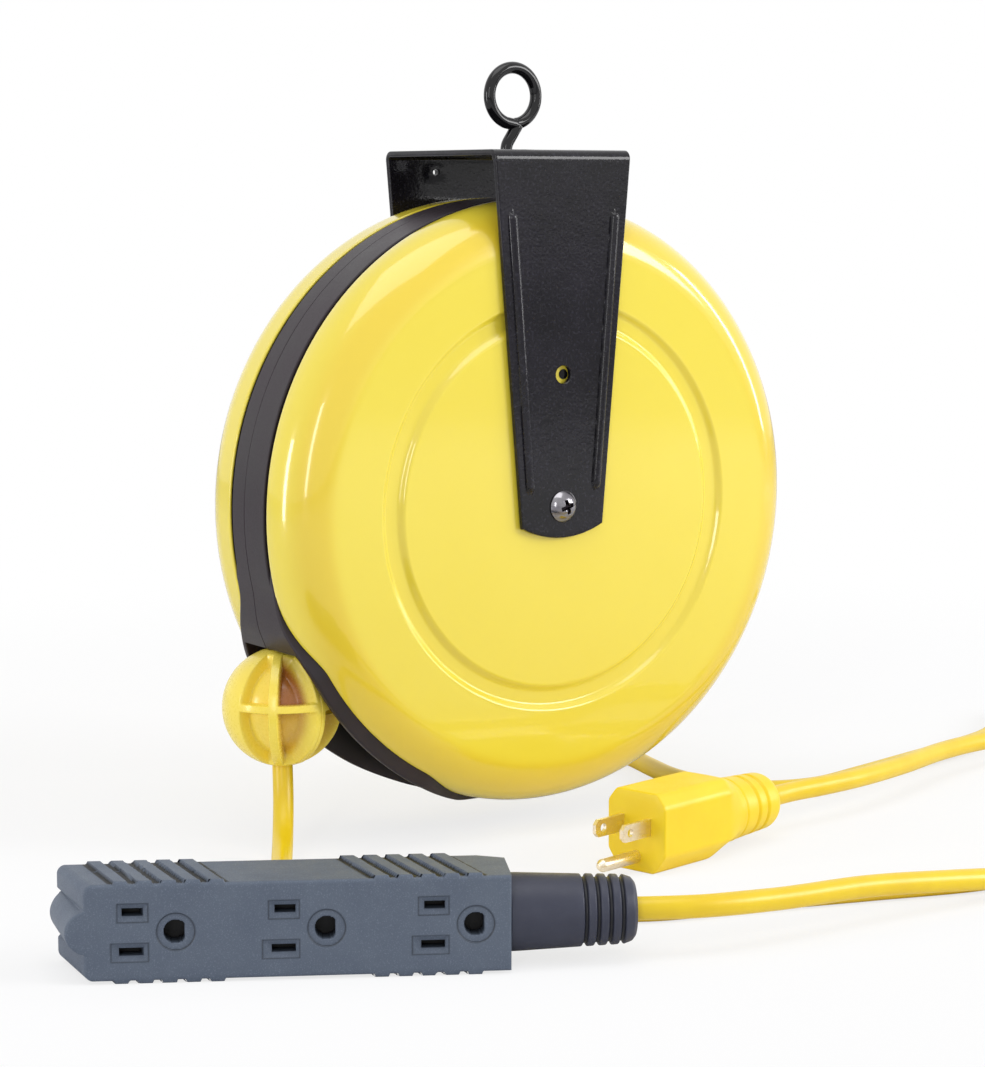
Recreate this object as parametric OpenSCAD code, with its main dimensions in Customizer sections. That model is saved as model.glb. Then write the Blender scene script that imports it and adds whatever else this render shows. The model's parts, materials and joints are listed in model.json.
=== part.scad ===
// Retractable extension cord reel.
//
// A flat round housing of two pressed steel covers and a moulded rim band hangs in a bent
// steel yoke by an eye bolt. A sprung spool inside winds the outlet cord, which leaves
// through the mouth in the rim, passes through a ball stop and ends in a block of three
// grounded outlets. A short supply cord leaves the rear cover and ends in a grounded plug.
//
// Frame: origin at the centre of the eye, +Z up, the reel's axle along Y, front towards -Y.
// Pieces on the axle are drawn with +Z along the axle towards the front, see on_axle().

/* [Housing] */
// Outside diameter of the covers
housing_d = 232; // [220:1:300]
// Thickness over both cover faces
housing_t = 72.6; // [72:0.2:100]
// Outside radius of the covers' rounded edge
cover_edge_r = 18; // [12:0.5:18]
// Sheet thickness of the covers
cover_wall = 1.2; // [0.8:0.1:1.6]
// Mean radius of the pressed ring groove
groove_r = 73.7; // [70:0.1:76]
// Width of the groove at the cover's face
groove_w = 10.4; // [8:0.1:12]
// Depth of the groove
groove_depth = 2; // [1:0.1:2.4]
// Width of the rim band between the covers
band_w = 28; // [24:0.5:32]
// Distance of the rim band's middle in front of the axle's middle
band_offset = 2.5; // [0:0.5:4]
// Wall of the rim band
band_wall = 4.4; // [3.5:0.1:5]
// Width of the shadow channel between the band and each cover
channel_w = 2.2; // [1:0.1:3]

/* [Cord mouth] */
// Direction of the mouth's middle, anticlockwise from +X
mouth_dir = 227; // [220:1:235]
// Length of the flared part along the rim
mouth_len = 124; // [116:1:130]
// Width of the mouth over its lips
mouth_w = 51; // [48:0.5:54]
// Width of a lip
lip_w = 3; // [2:0.1:4]
// Height of the lips above the band
lip_rise = 2.3; // [1:0.1:3]
// Radius of the hole that guides the cord
guide_r = 5.5; // [5:0.1:6]

/* [Yoke] */
// Height of the yoke's top above the axle
yoke_rise = 134; // [134:1:170]
// Width of the yoke at its top
yoke_w = 62; // [50:1:70]
// Width of an arm at its lower end
yoke_end_w = 37; // [30:1:44]
// Length of an arm below the axle
yoke_tail = 12; // [10:0.5:18]
// Sheet thickness of the yoke
yoke_sheet = 2.3; // [1.6:0.1:3]
// Outside radius of the yoke's bends
yoke_bend_r = 3.6; // [3:0.1:5]
// Radius of the arms' stiffening beads
bead_r = 1.8; // [1.2:0.1:2.2]
// Height of the spare hole in each arm above the axle
spare_hole_rise = 50; // [40:1:60]
// Radius of the spare hole
spare_hole_r = 3.1; // [2:0.1:4]
// Spacing of the two ceiling screw holes
ceiling_pitch = 48; // [44:1:54]
// Radius of the ceiling screw holes
ceiling_hole_r = 3.2; // [2.5:0.1:3.6]

/* [Eye bolt] */
// Outside diameter of the eye
eye_d = 26; // [22:0.5:34]
// Diameter of the eye bolt's rod
eye_rod = 4.6; // [4:0.1:6]
// Sideways step of the rod between the eye and the yoke
eye_step = 3; // [0:0.5:4]

/* [Axle and spool] */
// Diameter of the axle
axle_d = 12; // [10:0.5:14]
// Diameter of the axle screws
axle_screw_d = 5; // [4:0.5:6]
// Radius of the spool's flanges
flange_r = 100.5; // [90:0.5:100.5]
// Thickness of a flange
flange_t = 2; // [1.5:0.1:2.5]
// Space between the flanges
spool_w = 31; // [24:0.5:32]
// Outside radius of the drum
drum_r = 62; // [60:0.5:66]
// Wall of the drum
drum_wall = 5; // [4.5:0.1:6]
// Number of ratchet notches
ratchet_teeth = 12; // [12:12:24]
// Outside radius of the ratchet wheel
ratchet_r = 40; // [36:0.5:42]

/* [Ball stop] */
// Diameter of the ball
ball_d = 43.4; // [38:0.2:44]
// Thickness of the ball's ribs
ball_rib = 4; // [3:0.1:5]
// Depth of the pockets between the ribs
ball_pocket = 6; // [3:0.5:7]

/* [Outlet block] */
// Length of the block
block_l = 135.5; // [124:1:150]
// Height of the block without its ribs
block_h = 31; // [28:0.5:36]
// Depth of the block from face to back
block_dp = 29; // [26:0.5:32]
// Distance between outlets
outlet_pitch = 47.2; // [44:0.2:50]
// Length of the block's cord sleeve
sleeve_l = 38.5; // [36:1:50]
// Diameter of the sleeve at the block
sleeve_d = 22; // [18:0.5:24]

/* [Plug] */
// Length of the plug's body from its face to the cord
plug_l = 76; // [66:1:86]
// Width of the plug's body
plug_w = 27; // [25:0.5:30]
// Height of the plug's body with its keel
plug_h = 30; // [28:0.5:32]

/* [Cord] */
// Diameter of both cords
cord_d = 7.7; // [7:0.1:8]

/* [Hidden] */

// Running, seating and screw clearances
run_fit = 0.06;
seat_gap = 0.3;
slip_gap = 0.1;
eps = 0.01;

// Frame and housing
axle_drop = yoke_rise + 21;
housing_r = housing_d / 2;
face_f = housing_t / 2;
inner_f = face_f - cover_wall;
band_front_f = band_offset + band_w / 2;
band_rear_f = band_offset - band_w / 2;
tongue_l = 3;
tongue_gap = 0.2;
band_inner_r = housing_r - band_wall;
tongue_r = housing_r - cover_wall - tongue_gap;
groove_slope = 1.6;
spigot_r = 4;
spigot_flat = 3.2;

// Yoke
arm_gap = 0.3;
arm_in_f = face_f + arm_gap;
arm_out_f = arm_in_f + yoke_sheet;
arm_corner_drop = 7.4;
bead_top = yoke_rise - 25;
bead_low = 8;
bead_edge = 4.6;
bead_rise = 1.2;
screw_hole_r = axle_screw_d / 2 + 0.25;
locating_hole_r = 1.2;

// Eye bolt
eye_ring_r = (eye_d - eye_rod) / 2;
eye_thread_r = eye_rod / 2 - 0.1;
plate_top_z = yoke_rise - axle_drop;
washer_t = 1;
nut_h = 4;
rod_tail = 2.5;

// Axle and spool, along the axle from its middle
spool_f = band_offset - 0.5;
spool_front_f = spool_f + spool_w / 2;
spool_rear_f = spool_f - spool_w / 2;
axle_r = axle_d / 2;
bush_r = axle_r + 4;
bush_flange_r = bush_r + 3;
bush_flange_t = 1.5;
bush_l = 7.5;
arbor_r = bush_r + 0.3;
wound_r = flange_r - 3;
pack_gap = 0.2;
plate_t = 1.6;
plate_r = groove_r - groove_w / 2 - 4;
plate_in_f = inner_f - plate_t;
ratchet_t = 2.5;
tooth_depth = 5;
tooth_phase = 19.5;
flange_screw_r = drum_r - drum_wall / 2;
ring_disc_t = 3;
ring_t = 1.5;
ring_w = 4;
ring_radii = [22, 31, 40];
ring_disc_f = spool_rear_f - flange_t;
ring_face_f = ring_disc_f - ring_disc_t - ring_t;

// Power spring: a flat strip wound from the arbor to the drum's wall
strip_t = 0.8;
strip_w = spool_w - 7;
strip_turns = 11;
strip_steps = 24;
strip_in_r = arbor_r + 0.2;
strip_out_r = drum_r - drum_wall - 0.4 - strip_t;

// Pawl, on a pin in the pawl plate
pawl_dir = 60;
pawl_pin_at = 50;
pawl_pin_r = 2.5;
pawl_t = ratchet_t;
pawl_hub_r = 5;
pawl_f = spool_front_f + flange_t + 0.4;
pawl_lift = 7;
pawl_reach = 15.5;
spring_wire_r = 0.6;
spring_coil_r = pawl_hub_r + spring_wire_r + 0.3;
spring_coils = 3;

// Contact block inside the rear cover
contact_y = -25;
contact_size = [34, 18, 9];
contact_x = 31;
finger_w = 3.6;
finger_t = 0.5;
contact_screw_x = [20, 42];
contact_screw_r = 1.5;
gland_at = [30, -50];
gland_bore_r = cord_d / 2 + slip_gap;

// Mouth and ball
mouth_in_r = flange_r + 0.8;
mouth_ramp = 30;
mouth_from = mouth_dir - 34;
mouth_to = mouth_dir + 34;
hood_edge = mouth_dir - 22;
trough_to = mouth_dir + 26;
ball_r = ball_d / 2;
ball_at = [-102, -72, 2];
ball_turn = 192;
ball_mid_rib = 40;
ball_belt = 2.5;
ball_screw_in = 8.5;
ball_screw_l = 15;
trough_r = norm([ball_at[0], ball_at[1]]) - ball_r - 0.2;

// Surface that the block, the plug and the cords lie on
floor_z = -283;

// Outlet block: left end on the floor, turned about Z
block_at = [-237, -107.5];
block_turn = -28;
rib_rise = 1;
rib_w = 4.9;
rib_pitch = 7.4;
rib_count = 5;
block_slant = 10;
rib_starts = [10.5, 92];
block_mid_z = floor_z + rib_rise + block_h / 2;
lobe_r = 7.2;
shoulder_x = 6;
corner_r = 4;
first_outlet_x = 17.2;
slot_gauge = 12.7;
ground_gauge = 11.9;
slot_h = 2.2;
line_slot_l = 7.1;
neutral_slot_l = 8.7;
slot_depth = 13;
split_y = 3;
bar_t = 0.8;
bar_y = 4.5;
leaf_gap = 1.15;
ground_hole_r = 3.2;
ground_ring_r = 5.5;
block_screw_x = [47, 94];

// Plug: face centre, turned about Z
plug_at = [-11.6, -98];
plug_turn = 13.7;
plug_axis_z = floor_z + 14.5;
blade_drop = 2.9;
blade_l = 16;
blade_w = 6.35;
blade_t = 1.5;
blade_set = 10;
pin_r = 2.4;
pin_l = 21;
plug_body_l = plug_l - 26;
plug_neck_r = 11;
plug_cord_l = 16;

// Routes of the cords' middle lines
outlet_route = [
    [-105, -2, -158], [-105, -2, -184], [-105, -2, -210], [-105, -2, -232],
    [-105, -2, -240], [-105, -2, -248],
    [-107, -6, -262], [-113, -16, -274], [-123, -33, -279], [-133, -52, -279],
    [-138, -73, -279], [-135, -94, -279], [-121, -111, -279], [-99, -124, -279],
    [-74, -141, -279], [-50, -157, -279], [-25, -164, -279], [5, -171, -279],
    [35, -179, -279], [75, -189, -279], [112, -187, -279], [146, -173, -279],
    [179, -162, -279], [210, -171, -279], [228, -199, -279], [221, -231, -279],
    [196, -250, -279], [165, -246, -279], [136, -229, -278.5], [107, -211, -277.5],
    [77, -202, -276], [44, -200, -273], [10, -200, -270], [-28, -201, -268.5],
    [-59, -199, -267], [-84, -188.9, -266.5], [-94, -183.5, -266.5],
    [-105, -177.7, -266.5], [-123.9, -167.6, -266.5]
];
supply_route = [
    [27, 31.4, -205], [27, 50, -205], [27, 68, -205], [28, 86, -209], [32, 103, -220],
    [39, 117, -236], [50, 126, -254], [66, 127, -270], [84, 119, -278],
    [97, 102, -279], [101, 80, -279], [98, 55, -279], [92, 30, -279],
    [88, 8, -279], [91, -15, -279], [105, -31, -279], [127, -36, -279],
    [157, -29, -279], [186, -21, -279], [218, -12, -279], [254, 0, -279],
    [284, 20, -279], [312, 42, -279], [346, 44, -279], [371, 15, -278],
    [361, -20, -277], [327, -36, -275.5], [290, -32, -274], [255, -27, -273],
    [222, -31, -272], [190, -41, -271], [156, -56, -270], [124, -68, -269],
    [99, -74, -268.5], [80, -76, -268.5], [62, -80.1, -268.5], [47, -83.7, -268.5]
];
cord_sides = 10;
route_steps = 3;

$fn = 64;

// Turns a piece drawn along the axle's own frame into place.
module on_axle() {
    translate([-eye_step, 0, -axle_drop]) rotate([90, 0, 0]) children();
}

// A cylinder of radius r between two places along the axle's frame.
module disc(r, low, high) {
    translate([0, 0, low]) cylinder(r = r, h = high - low);
}

// A flat ring between two radii and two places along the axle's frame.
module washer(outer, inner, low, high) {
    difference() {
        disc(outer, low, high);
        disc(inner, low - 1, high + 1);
    }
}

// Points of an arc about a centre, from angle a0 to a1.
function arc(centre, r, a0, a1, steps) =
    [for (i = [0 : steps]) let (a = a0 + (a1 - a0) * i / steps) centre + r * [cos(a), sin(a)]];

// A step from 0 to 1 with flat ends.
function ease(t) = let (u = max(0, min(1, t))) u * u * (3 - 2 * u);

// Smooth curve through the points of a route, with a few steps from each point to the next.
function route_point(route, i) = route[max(0, min(len(route) - 1, i))];
function spline(a, b, c, d, t) =
    0.5 * (2 * b + (c - a) * t + (2 * a - 5 * b + 4 * c - d) * t * t + (3 * b - a - 3 * c + d) * t * t * t);
function smooth_route(route, steps) = concat(
    [for (i = [0 : len(route) - 2], k = [0 : steps - 1])
        spline(route_point(route, i - 1), route[i], route[i + 1], route_point(route, i + 2), k / steps)],
    [route[len(route) - 1]]);

// Closed tube of radius r along a path, with flat ends square to the path.
module tube(path, r, sides) {
    last = len(path) - 1;
    ahead = [for (i = [0 : last]) let (d = path[min(last, i + 1)] - path[max(0, i - 1)]) d / norm(d)];
    function aside(i) = let (s = cross(ahead[i], abs(ahead[i][2]) > 0.9 ? [1, 0, 0] : [0, 0, 1])) s / norm(s);
    across = carry(ahead, [aside(0)], 1);
    rings = [for (i = [0 : last], k = [0 : sides - 1])
        let (a = 360 * k / sides, u = across[i], v = cross(ahead[i], u))
        path[i] + r * (cos(a) * u + sin(a) * v)];
    sides_faces = [for (i = [0 : last - 1], k = [0 : sides - 1])
        let (n = (k + 1) % sides) [i * sides + k, (i + 1) * sides + k, (i + 1) * sides + n, i * sides + n]];
    start = [[for (k = [0 : sides - 1]) k]];
    end = [[for (k = [sides - 1 : -1 : 0]) last * sides + k]];
    polyhedron(rings, concat(sides_faces, start, end), convexity = 10);
}

// Carries the first ring's direction along the path without twist.
function carry(ahead, done, i) = i >= len(ahead) ? done :
    let (p = done[i - 1], q = p - (p * ahead[i]) * ahead[i])
    carry(ahead, concat(done, [q / norm(q)]), i + 1);

// Cross recess of a screw head.
module cross_recess(r, depth) {
    for (a = [0, 90]) rotate([0, 0, a]) translate([-r, -r / 5, -depth]) cube([2 * r, r / 2.5, depth + 1]);
}

// A screw with a domed head: head above z = 0, shank below.
module domed_screw(shank_r, shank_l, head_r, head_h) {
    translate([0, 0, -shank_l]) cylinder(r = shank_r, h = shank_l + eps);
    difference() {
        intersection() {
            cylinder(r = head_r, h = head_h);
            dome_r = (head_r * head_r + head_h * head_h) / (2 * head_h);
            translate([0, 0, head_h - dome_r]) sphere(r = dome_r);
        }
        translate([0, 0, head_h]) cross_recess(head_r * 0.5, head_h * 0.5);
    }
}

// ---- Eye bolt and yoke ----

module eye_bolt() {
    top = -eye_ring_r;
    low_z = plate_top_z - yoke_sheet - washer_t - nut_h - rod_tail;
    ring = [for (a = [-83 : 13 : 254]) [eye_ring_r * cos(a), 0, eye_ring_r * sin(a)]];
    shank = [[1.7, 0, top - 0.6], [1.1, 0, top - 2], [-0.9, 0, top - 5], [-eye_step + 0.5, 0, top - 7.5]];
    color("#17181a") {
        tube(concat(ring, shank, [[-eye_step, 0, top - 9.5], [-eye_step, 0, plate_top_z + 0.2]]), eye_rod / 2, 16);
        translate([-eye_step, 0, low_z]) cylinder(r = eye_thread_r, h = plate_top_z + 1 - low_z);
    }
}

module eye_washer() {
    color("#3a3b3d") translate([-eye_step, 0, plate_top_z - yoke_sheet - washer_t])
        washer(5.5, eye_thread_r + slip_gap, 0, washer_t);
}

module eye_nut() {
    color("#3a3b3d") translate([-eye_step, 0, plate_top_z - yoke_sheet - washer_t - nut_h])
        difference() {
            cylinder(r = 4.6, h = nut_h, $fn = 6);
            translate([0, 0, -1]) cylinder(r = eye_thread_r + eps, h = nut_h + 2);
        }
}

// Outline of both arms seen along the axle: a taper with a rounded lower end.
module arm_outline() {
    end_half = yoke_end_w / 2;
    sag = yoke_tail - arm_corner_drop;
    end_r = (end_half * end_half + sag * sag) / (2 * sag);
    spread = asin(end_half / end_r);
    polygon(concat(
        [[-yoke_w / 2, yoke_rise], [-end_half, -arm_corner_drop]],
        arc([0, end_r - yoke_tail], end_r, 270 - spread, 270 + spread, 16),
        [[end_half, -arm_corner_drop], [yoke_w / 2, yoke_rise]]));
}

// Bent strip seen from the side: an inverted U with rounded bends.
module yoke_profile() {
    function u_line(half, top, r) = concat(
        [[half, -yoke_tail - 1]], arc([half - r, top - r], r, 0, 90, 8),
        arc([r - half, top - r], r, 90, 180, 8), [[-half, -yoke_tail - 1]]);
    difference() {
        polygon(u_line(arm_out_f, yoke_rise, yoke_bend_r));
        polygon(u_line(arm_in_f, yoke_rise - yoke_sheet, yoke_bend_r - yoke_sheet));
    }
}

// Outline of a stiffening bead, which follows an arm's edge.
module bead(half, side) {
    from = [side * (yoke_end_w / 2 - bead_edge + 1.3), bead_low];
    to = [side * (yoke_w / 2 - bead_edge - 3.1), bead_top];
    lean = atan2(to[1] - from[1], to[0] - from[0]);
    polygon(concat(arc(from, half, lean + 90, lean + 270, 8), arc(to, half, lean - 90, lean + 90, 8)));
}

// Beads of both arms between two distances from the axle's middle.
module beads(half, low, high) {
    for (side = [-1, 1], arm = [0, 1]) mirror([0, 0, arm])
        translate([0, 0, low]) linear_extrude(high - low) bead(half, side);
}

module yoke() {
    color("#141416") on_axle() difference() {
        union() {
            intersection() {
                rotate([0, -90, 0]) linear_extrude(2 * yoke_w, center = true) yoke_profile();
                translate([0, 0, -arm_out_f - 1]) linear_extrude(2 * arm_out_f + 2) arm_outline();
            }
            beads(bead_r, arm_out_f - 1, arm_out_f + bead_rise);
        }
        beads(bead_r - 0.9, arm_in_f - 1, arm_in_f + bead_rise);
        disc(screw_hole_r, -arm_out_f - 1, arm_out_f + 1);
        translate([0, spare_hole_rise, 0]) disc(spare_hole_r, -arm_out_f - 1, arm_out_f + 1);
        translate([-9, yoke_rise - 8, 0]) disc(locating_hole_r, -arm_out_f - 1, 0);
        for (f = [-ceiling_pitch / 2, 0, ceiling_pitch / 2])
            translate([0, yoke_rise + 1, f]) rotate([90, 0, 0])
                cylinder(r = f == 0 ? eye_thread_r + slip_gap : ceiling_hole_r, h = yoke_sheet + 6);
    }
}

module axle_screw() {
    translate([0, 0, arm_out_f]) domed_screw(axle_screw_d / 2, 13, 6, 3.6);
}

module front_axle_screw() { color("#c9cbd0") on_axle() axle_screw(); }
module rear_axle_screw() { color("#c9cbd0") on_axle() rotate([180, 0, 0]) axle_screw(); }

// ---- Housing ----

// Half section of a cover's outside, from the axle to its rim, down to the place edge_f.
function cover_line(r, face, edge_r, edge_f) = concat(
    [[0, edge_f], [0, face]], arc([r - edge_r, face - edge_r], edge_r, 90, 0, 12), [[r, edge_f]]);

// Section of the ring groove, grown on every side by the sheet for its inner face.
module groove_section(face, grow) {
    top = groove_w / 2 + grow;
    low = top - groove_slope;
    polygon([[groove_r - top, face + 1], [groove_r - top, face], [groove_r - low, face - groove_depth],
        [groove_r + low, face - groove_depth], [groove_r + top, face], [groove_r + top, face + 1]]);
}

// One pressed cover, face towards +Z, reaching down to edge_f, without its mouth.
module cover_shell(edge_f) {
    rotate_extrude($fn = 128) difference() {
        polygon(cover_line(housing_r, face_f, cover_edge_r, edge_f));
        difference() {
            polygon(cover_line(housing_r - cover_wall, inner_f, cover_edge_r - cover_wall, edge_f - 1));
            groove_section(inner_f, cover_wall / 2);
        }
        groove_section(face_f, 0);
    }
}

// Hole in a cover that keeps the axle's flats from turning.
module flatted_hole() {
    intersection() {
        disc(spigot_r + slip_gap, inner_f - 1, face_f + 1);
        translate([-spigot_r - 1, -spigot_flat - slip_gap, 0])
            cube([2 * spigot_r + 2, 2 * (spigot_flat + slip_gap), face_f + 2]);
    }
}

// Half width of the mouth at a distance s along the rim from its middle.
function mouth_half(s) = band_w / 2 + (mouth_w - band_w) / 2
    * ease((mouth_len / 2 + s) / mouth_ramp) * ease((mouth_len / 2 - s) / (mouth_ramp + 6));

// Prism with the mouth's outline, square to the rim at the mouth's middle.
module mouth_prism(grow) {
    steps = 30;
    function edge(i) = let (s = mouth_len * (i / steps - 0.5)) [s, mouth_half(s) + grow];
    rotate([0, 0, mouth_dir]) rotate([90, 0, 90]) translate([0, band_offset, housing_r / 2])
        linear_extrude(housing_r) polygon(concat(
            [for (i = [0 : steps]) edge(i)],
            [for (i = [steps : -1 : 0]) [edge(i)[0], -edge(i)[1]]]));
}

module front_cover() {
    color("#f6d21c") on_axle() difference() {
        cover_shell(band_front_f);
        flatted_hole();
        mouth_prism(seat_gap);
    }
}

module rear_cover() {
    color("#f6d21c") on_axle() difference() {
        rotate([180, 0, 0]) cover_shell(-band_rear_f);
        mirror([0, 0, 1]) flatted_hole();
        mouth_prism(seat_gap);
        translate([gland_at[0], gland_at[1], -face_f - 1]) cylinder(r = 6.4, h = cover_wall + 2);
        for (x = contact_screw_x) translate([x, contact_y, -face_f - 1])
            cylinder(r = contact_screw_r + slip_gap, h = cover_wall + 2);
    }
}

// Outside radius of the mouth at an angle round the rim.
function mouth_r(a) = housing_r + lip_rise * ease((a - mouth_from) / 9) * ease((mouth_to - a) / 9);

// Radius of the trough that leads the cord out of the mouth.
function trough_floor(a) = trough_r + (housing_r + 1 - trough_r)
    * pow(max(0, (a - hood_edge - 15) / (trough_to - hood_edge - 15)), 1.4);

function polar(r, a) = r * [cos(a), sin(a)];

// Band with the mouth, before it is split into a front and a rear half.
module whole_band() {
    difference() {
        union() {
            rotate_extrude($fn = 128) polygon([
                [band_inner_r, band_rear_f - tongue_l], [tongue_r, band_rear_f - tongue_l],
                [tongue_r, band_rear_f + channel_w], [housing_r - 0.5, band_rear_f + channel_w],
                [housing_r, band_rear_f + channel_w + 0.5], [housing_r, -0.4], [housing_r - 0.4, 0],
                [housing_r, 0.4], [housing_r, band_front_f - channel_w - 0.5],
                [housing_r - 0.5, band_front_f - channel_w], [tongue_r, band_front_f - channel_w],
                [tongue_r, band_front_f + tongue_l], [band_inner_r, band_front_f + tongue_l]]);
            intersection() {
                translate([0, 0, -housing_r]) linear_extrude(housing_d) polygon(concat(
                    [for (a = [mouth_from : 2 : mouth_to]) polar(mouth_r(a), a)],
                    [for (a = [mouth_to : -2 : mouth_from]) polar(mouth_in_r, a)]));
                mouth_prism(0);
            }
        }
        intersection() {
            translate([0, 0, -housing_r]) linear_extrude(housing_d) polygon(concat(
                [for (a = [hood_edge : 2 : trough_to]) polar(trough_floor(a), a)],
                [polar(housing_r * 1.2, trough_to), polar(housing_r * 1.2, hood_edge)]));
            mouth_prism(-lip_w);
        }
        translate(ball_at) sphere(r = ball_r + seat_gap);
        translate(ball_at) rotate([-90, 0, 0]) cylinder(r = guide_r, h = -ball_at[1]);
    }
}

module front_rim_band() {
    color("#39363b") on_axle() intersection() {
        whole_band();
        disc(housing_d, 0, housing_r);
    }
}

module rear_rim_band() {
    color("#39363b") on_axle() intersection() {
        whole_band();
        disc(housing_d, -housing_r, 0);
    }
}

// ---- Axle and what it carries without turning ----

module axle() {
    color("#9a9ca1") on_axle() difference() {
        union() {
            disc(axle_r, -inner_f, inner_f);
            intersection() {
                disc(spigot_r, -arm_in_f, arm_in_f);
                translate([-spigot_r, -spigot_flat, -arm_in_f]) cube([2 * spigot_r, 2 * spigot_flat, 2 * arm_in_f]);
            }
        }
        for (side = [0, 180]) rotate([side, 0, 0])
            disc(axle_screw_d / 2 + run_fit / 2, arm_in_f - 13, arm_in_f + 1);
    }
}

// Tubes that keep the spool in the middle of the axle.
module axle_spacers() {
    color("#b8bab8") on_axle() {
        washer(axle_r + 2.5, axle_r + run_fit, spool_front_f + flange_t + bush_flange_t + 0.2, plate_in_f - 0.1);
        washer(axle_r + 2.5, axle_r + run_fit, -inner_f, spool_rear_f - flange_t - bush_flange_t - 0.2);
    }
}

module pawl_plate() {
    color("#8d9095") on_axle() difference() {
        disc(plate_r, plate_in_f, inner_f);
        disc(axle_r + 0.2, 0, face_f);
        translate(polar3(pawl_pin_at, pawl_dir)) disc(pawl_pin_r + run_fit / 2, 0, face_f);
        for (a = [0 : 60 : 300]) rotate([0, 0, a + 30]) translate([plate_r * 0.62, 0, 0])
            disc(6, 0, face_f);
    }
}

function polar3(r, a) = [r * cos(a), r * sin(a), 0];

module pawl_pin() {
    color("#c9cbd0") on_axle() translate(polar3(pawl_pin_at, pawl_dir)) {
        disc(pawl_pin_r, pawl_f - 0.2, inner_f);
        disc(pawl_pin_r + 1.2, plate_in_f - 1, plate_in_f);
    }
}

// Pawl at rest, lifted clear of the ratchet wheel; its tip points back round the wheel.
module pawl() {
    low = pawl_f;
    high = pawl_f + pawl_t;
    color("#7d8085") on_axle() translate(polar3(pawl_pin_at, pawl_dir))
        rotate([0, 0, pawl_dir - 90 + pawl_lift]) difference() {
            union() {
                disc(pawl_hub_r, low, plate_in_f - 1.2);
                translate([0, 0, low]) linear_extrude(pawl_t) polygon([
                    [0, pawl_hub_r], [-pawl_reach + 3, -3.5], [-pawl_reach, -9.5],
                    [-pawl_reach + 2.4, -9.5], [-pawl_reach + 6, -6.5], [0, -pawl_hub_r]]);
            }
            disc(pawl_pin_r + run_fit, low - 1, high + face_f);
        }
}

// Torsion spring round the pawl's hub, with one leg on the pawl and one against the plate.
module pawl_spring() {
    start_f = pawl_f + pawl_t + 1.2;
    end_f = plate_in_f - 1.8;
    steps = 12;
    first = 125;
    turns = [for (i = [0 : spring_coils * steps - 4]) let (a = first + 360 * i / steps)
        [spring_coil_r * cos(a), spring_coil_r * sin(a), start_f + (end_f - start_f) * i / (spring_coils * steps - 4)]];
    low_leg = [[-9.6, -0.3, pawl_f + 1.2], [-9.4, 0, start_f - 1], [-8.2, 1.45, start_f]];
    high_leg = [[spring_coil_r + 0.6, 5, end_f], [spring_coil_r + 0.6, 9, end_f]];
    color("#c9cbd0") on_axle() translate(polar3(pawl_pin_at, pawl_dir)) rotate([0, 0, pawl_dir - 90 + pawl_lift])
        tube(concat(low_leg, turns, high_leg), spring_wire_r, 8);
}

module spring_arbor() {
    color("#8d9095") on_axle()
        washer(arbor_r, axle_r + run_fit, spool_rear_f + bush_l - flange_t + 0.2,
            spool_front_f - bush_l + flange_t - 0.2);
}

// Clock spring between the arbor and the drum's wall, drawn with open turns.
module power_spring() {
    count = strip_turns * strip_steps;
    function strip_r(i) = strip_in_r + (strip_out_r - strip_in_r) * i / count;
    color("#5c6066") on_axle() translate([0, 0, spool_f - strip_w / 2]) linear_extrude(strip_w) polygon(concat(
        [for (i = [0 : count]) polar(strip_r(i) + strip_t, 360 * i / strip_steps)],
        [for (i = [count : -1 : 0]) polar(strip_r(i), 360 * i / strip_steps)]));
}

module contact_block() {
    low = -inner_f;
    color("#2b2b2d") on_axle() difference() {
        translate([contact_x - contact_size[0] / 2, contact_y - contact_size[1] / 2, low]) cube(contact_size);
        for (x = contact_screw_x) translate([x, contact_y, low - 1])
            cylinder(r = contact_screw_r + run_fit / 2, h = contact_size[2] - 1);
    }
}

module contact_screws() {
    color("#c9cbd0") on_axle() for (x = contact_screw_x)
        translate([x, contact_y, -face_f]) rotate([180, 0, 0]) domed_screw(contact_screw_r, 7.5, 3, 1.8);
}

// Leaf spring from the contact block that presses on one slip ring.
module finger(x) {
    base_f = contact_size[2] - inner_f;
    tip_f = ring_face_f - seat_gap;
    on_axle() translate([x + finger_w / 2, 0, 0]) rotate([0, -90, 0]) linear_extrude(finger_w)
        polygon([[base_f, contact_y - 6], [base_f, contact_y + 9], [base_f + 1.2, contact_y + 11],
            [tip_f - finger_t, -2], [tip_f - finger_t, 2], [tip_f - 2, 6], [tip_f - 2 + finger_t, 6.5],
            [tip_f, 2.2], [tip_f, -2.2], [base_f + 1.2 + finger_t, contact_y + 10.6],
            [base_f + finger_t, contact_y + 8.6], [base_f + finger_t, contact_y - 6]]);
}

module line_finger() { color("#c69a3f") finger(ring_radii[0]); }
module neutral_finger() { color("#c69a3f") finger(ring_radii[1]); }
module ground_finger() { color("#c69a3f") finger(ring_radii[2]); }

// The supply cord's three cores, from the gland to the contact block.
module supply_leads() {
    color("#4f7f4a") on_axle() for (i = [-1 : 1]) {
        start = [gland_at[0] + 2.5 * i, gland_at[1], -inner_f + 4.2];
        end = [contact_x - 1 + 3.6 * i, contact_y - contact_size[1] / 2 - 0.4, -inner_f + 5];
        tube([start, start + [0, 0, 1.6], start + [0, 1.8, 3.2], (start + end) / 2 + [0, 0, 3],
            end + [0, -2.5, 0.6], end], 1.1, 8);
    }
}

// ---- Spool ----

module drum() {
    color("#d8d8d2") on_axle() difference() {
        washer(drum_r, drum_r - drum_wall, spool_rear_f, spool_front_f);
        flange_screw_places() disc(1.25 + run_fit / 2, -9, 1);
    }
}

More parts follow.
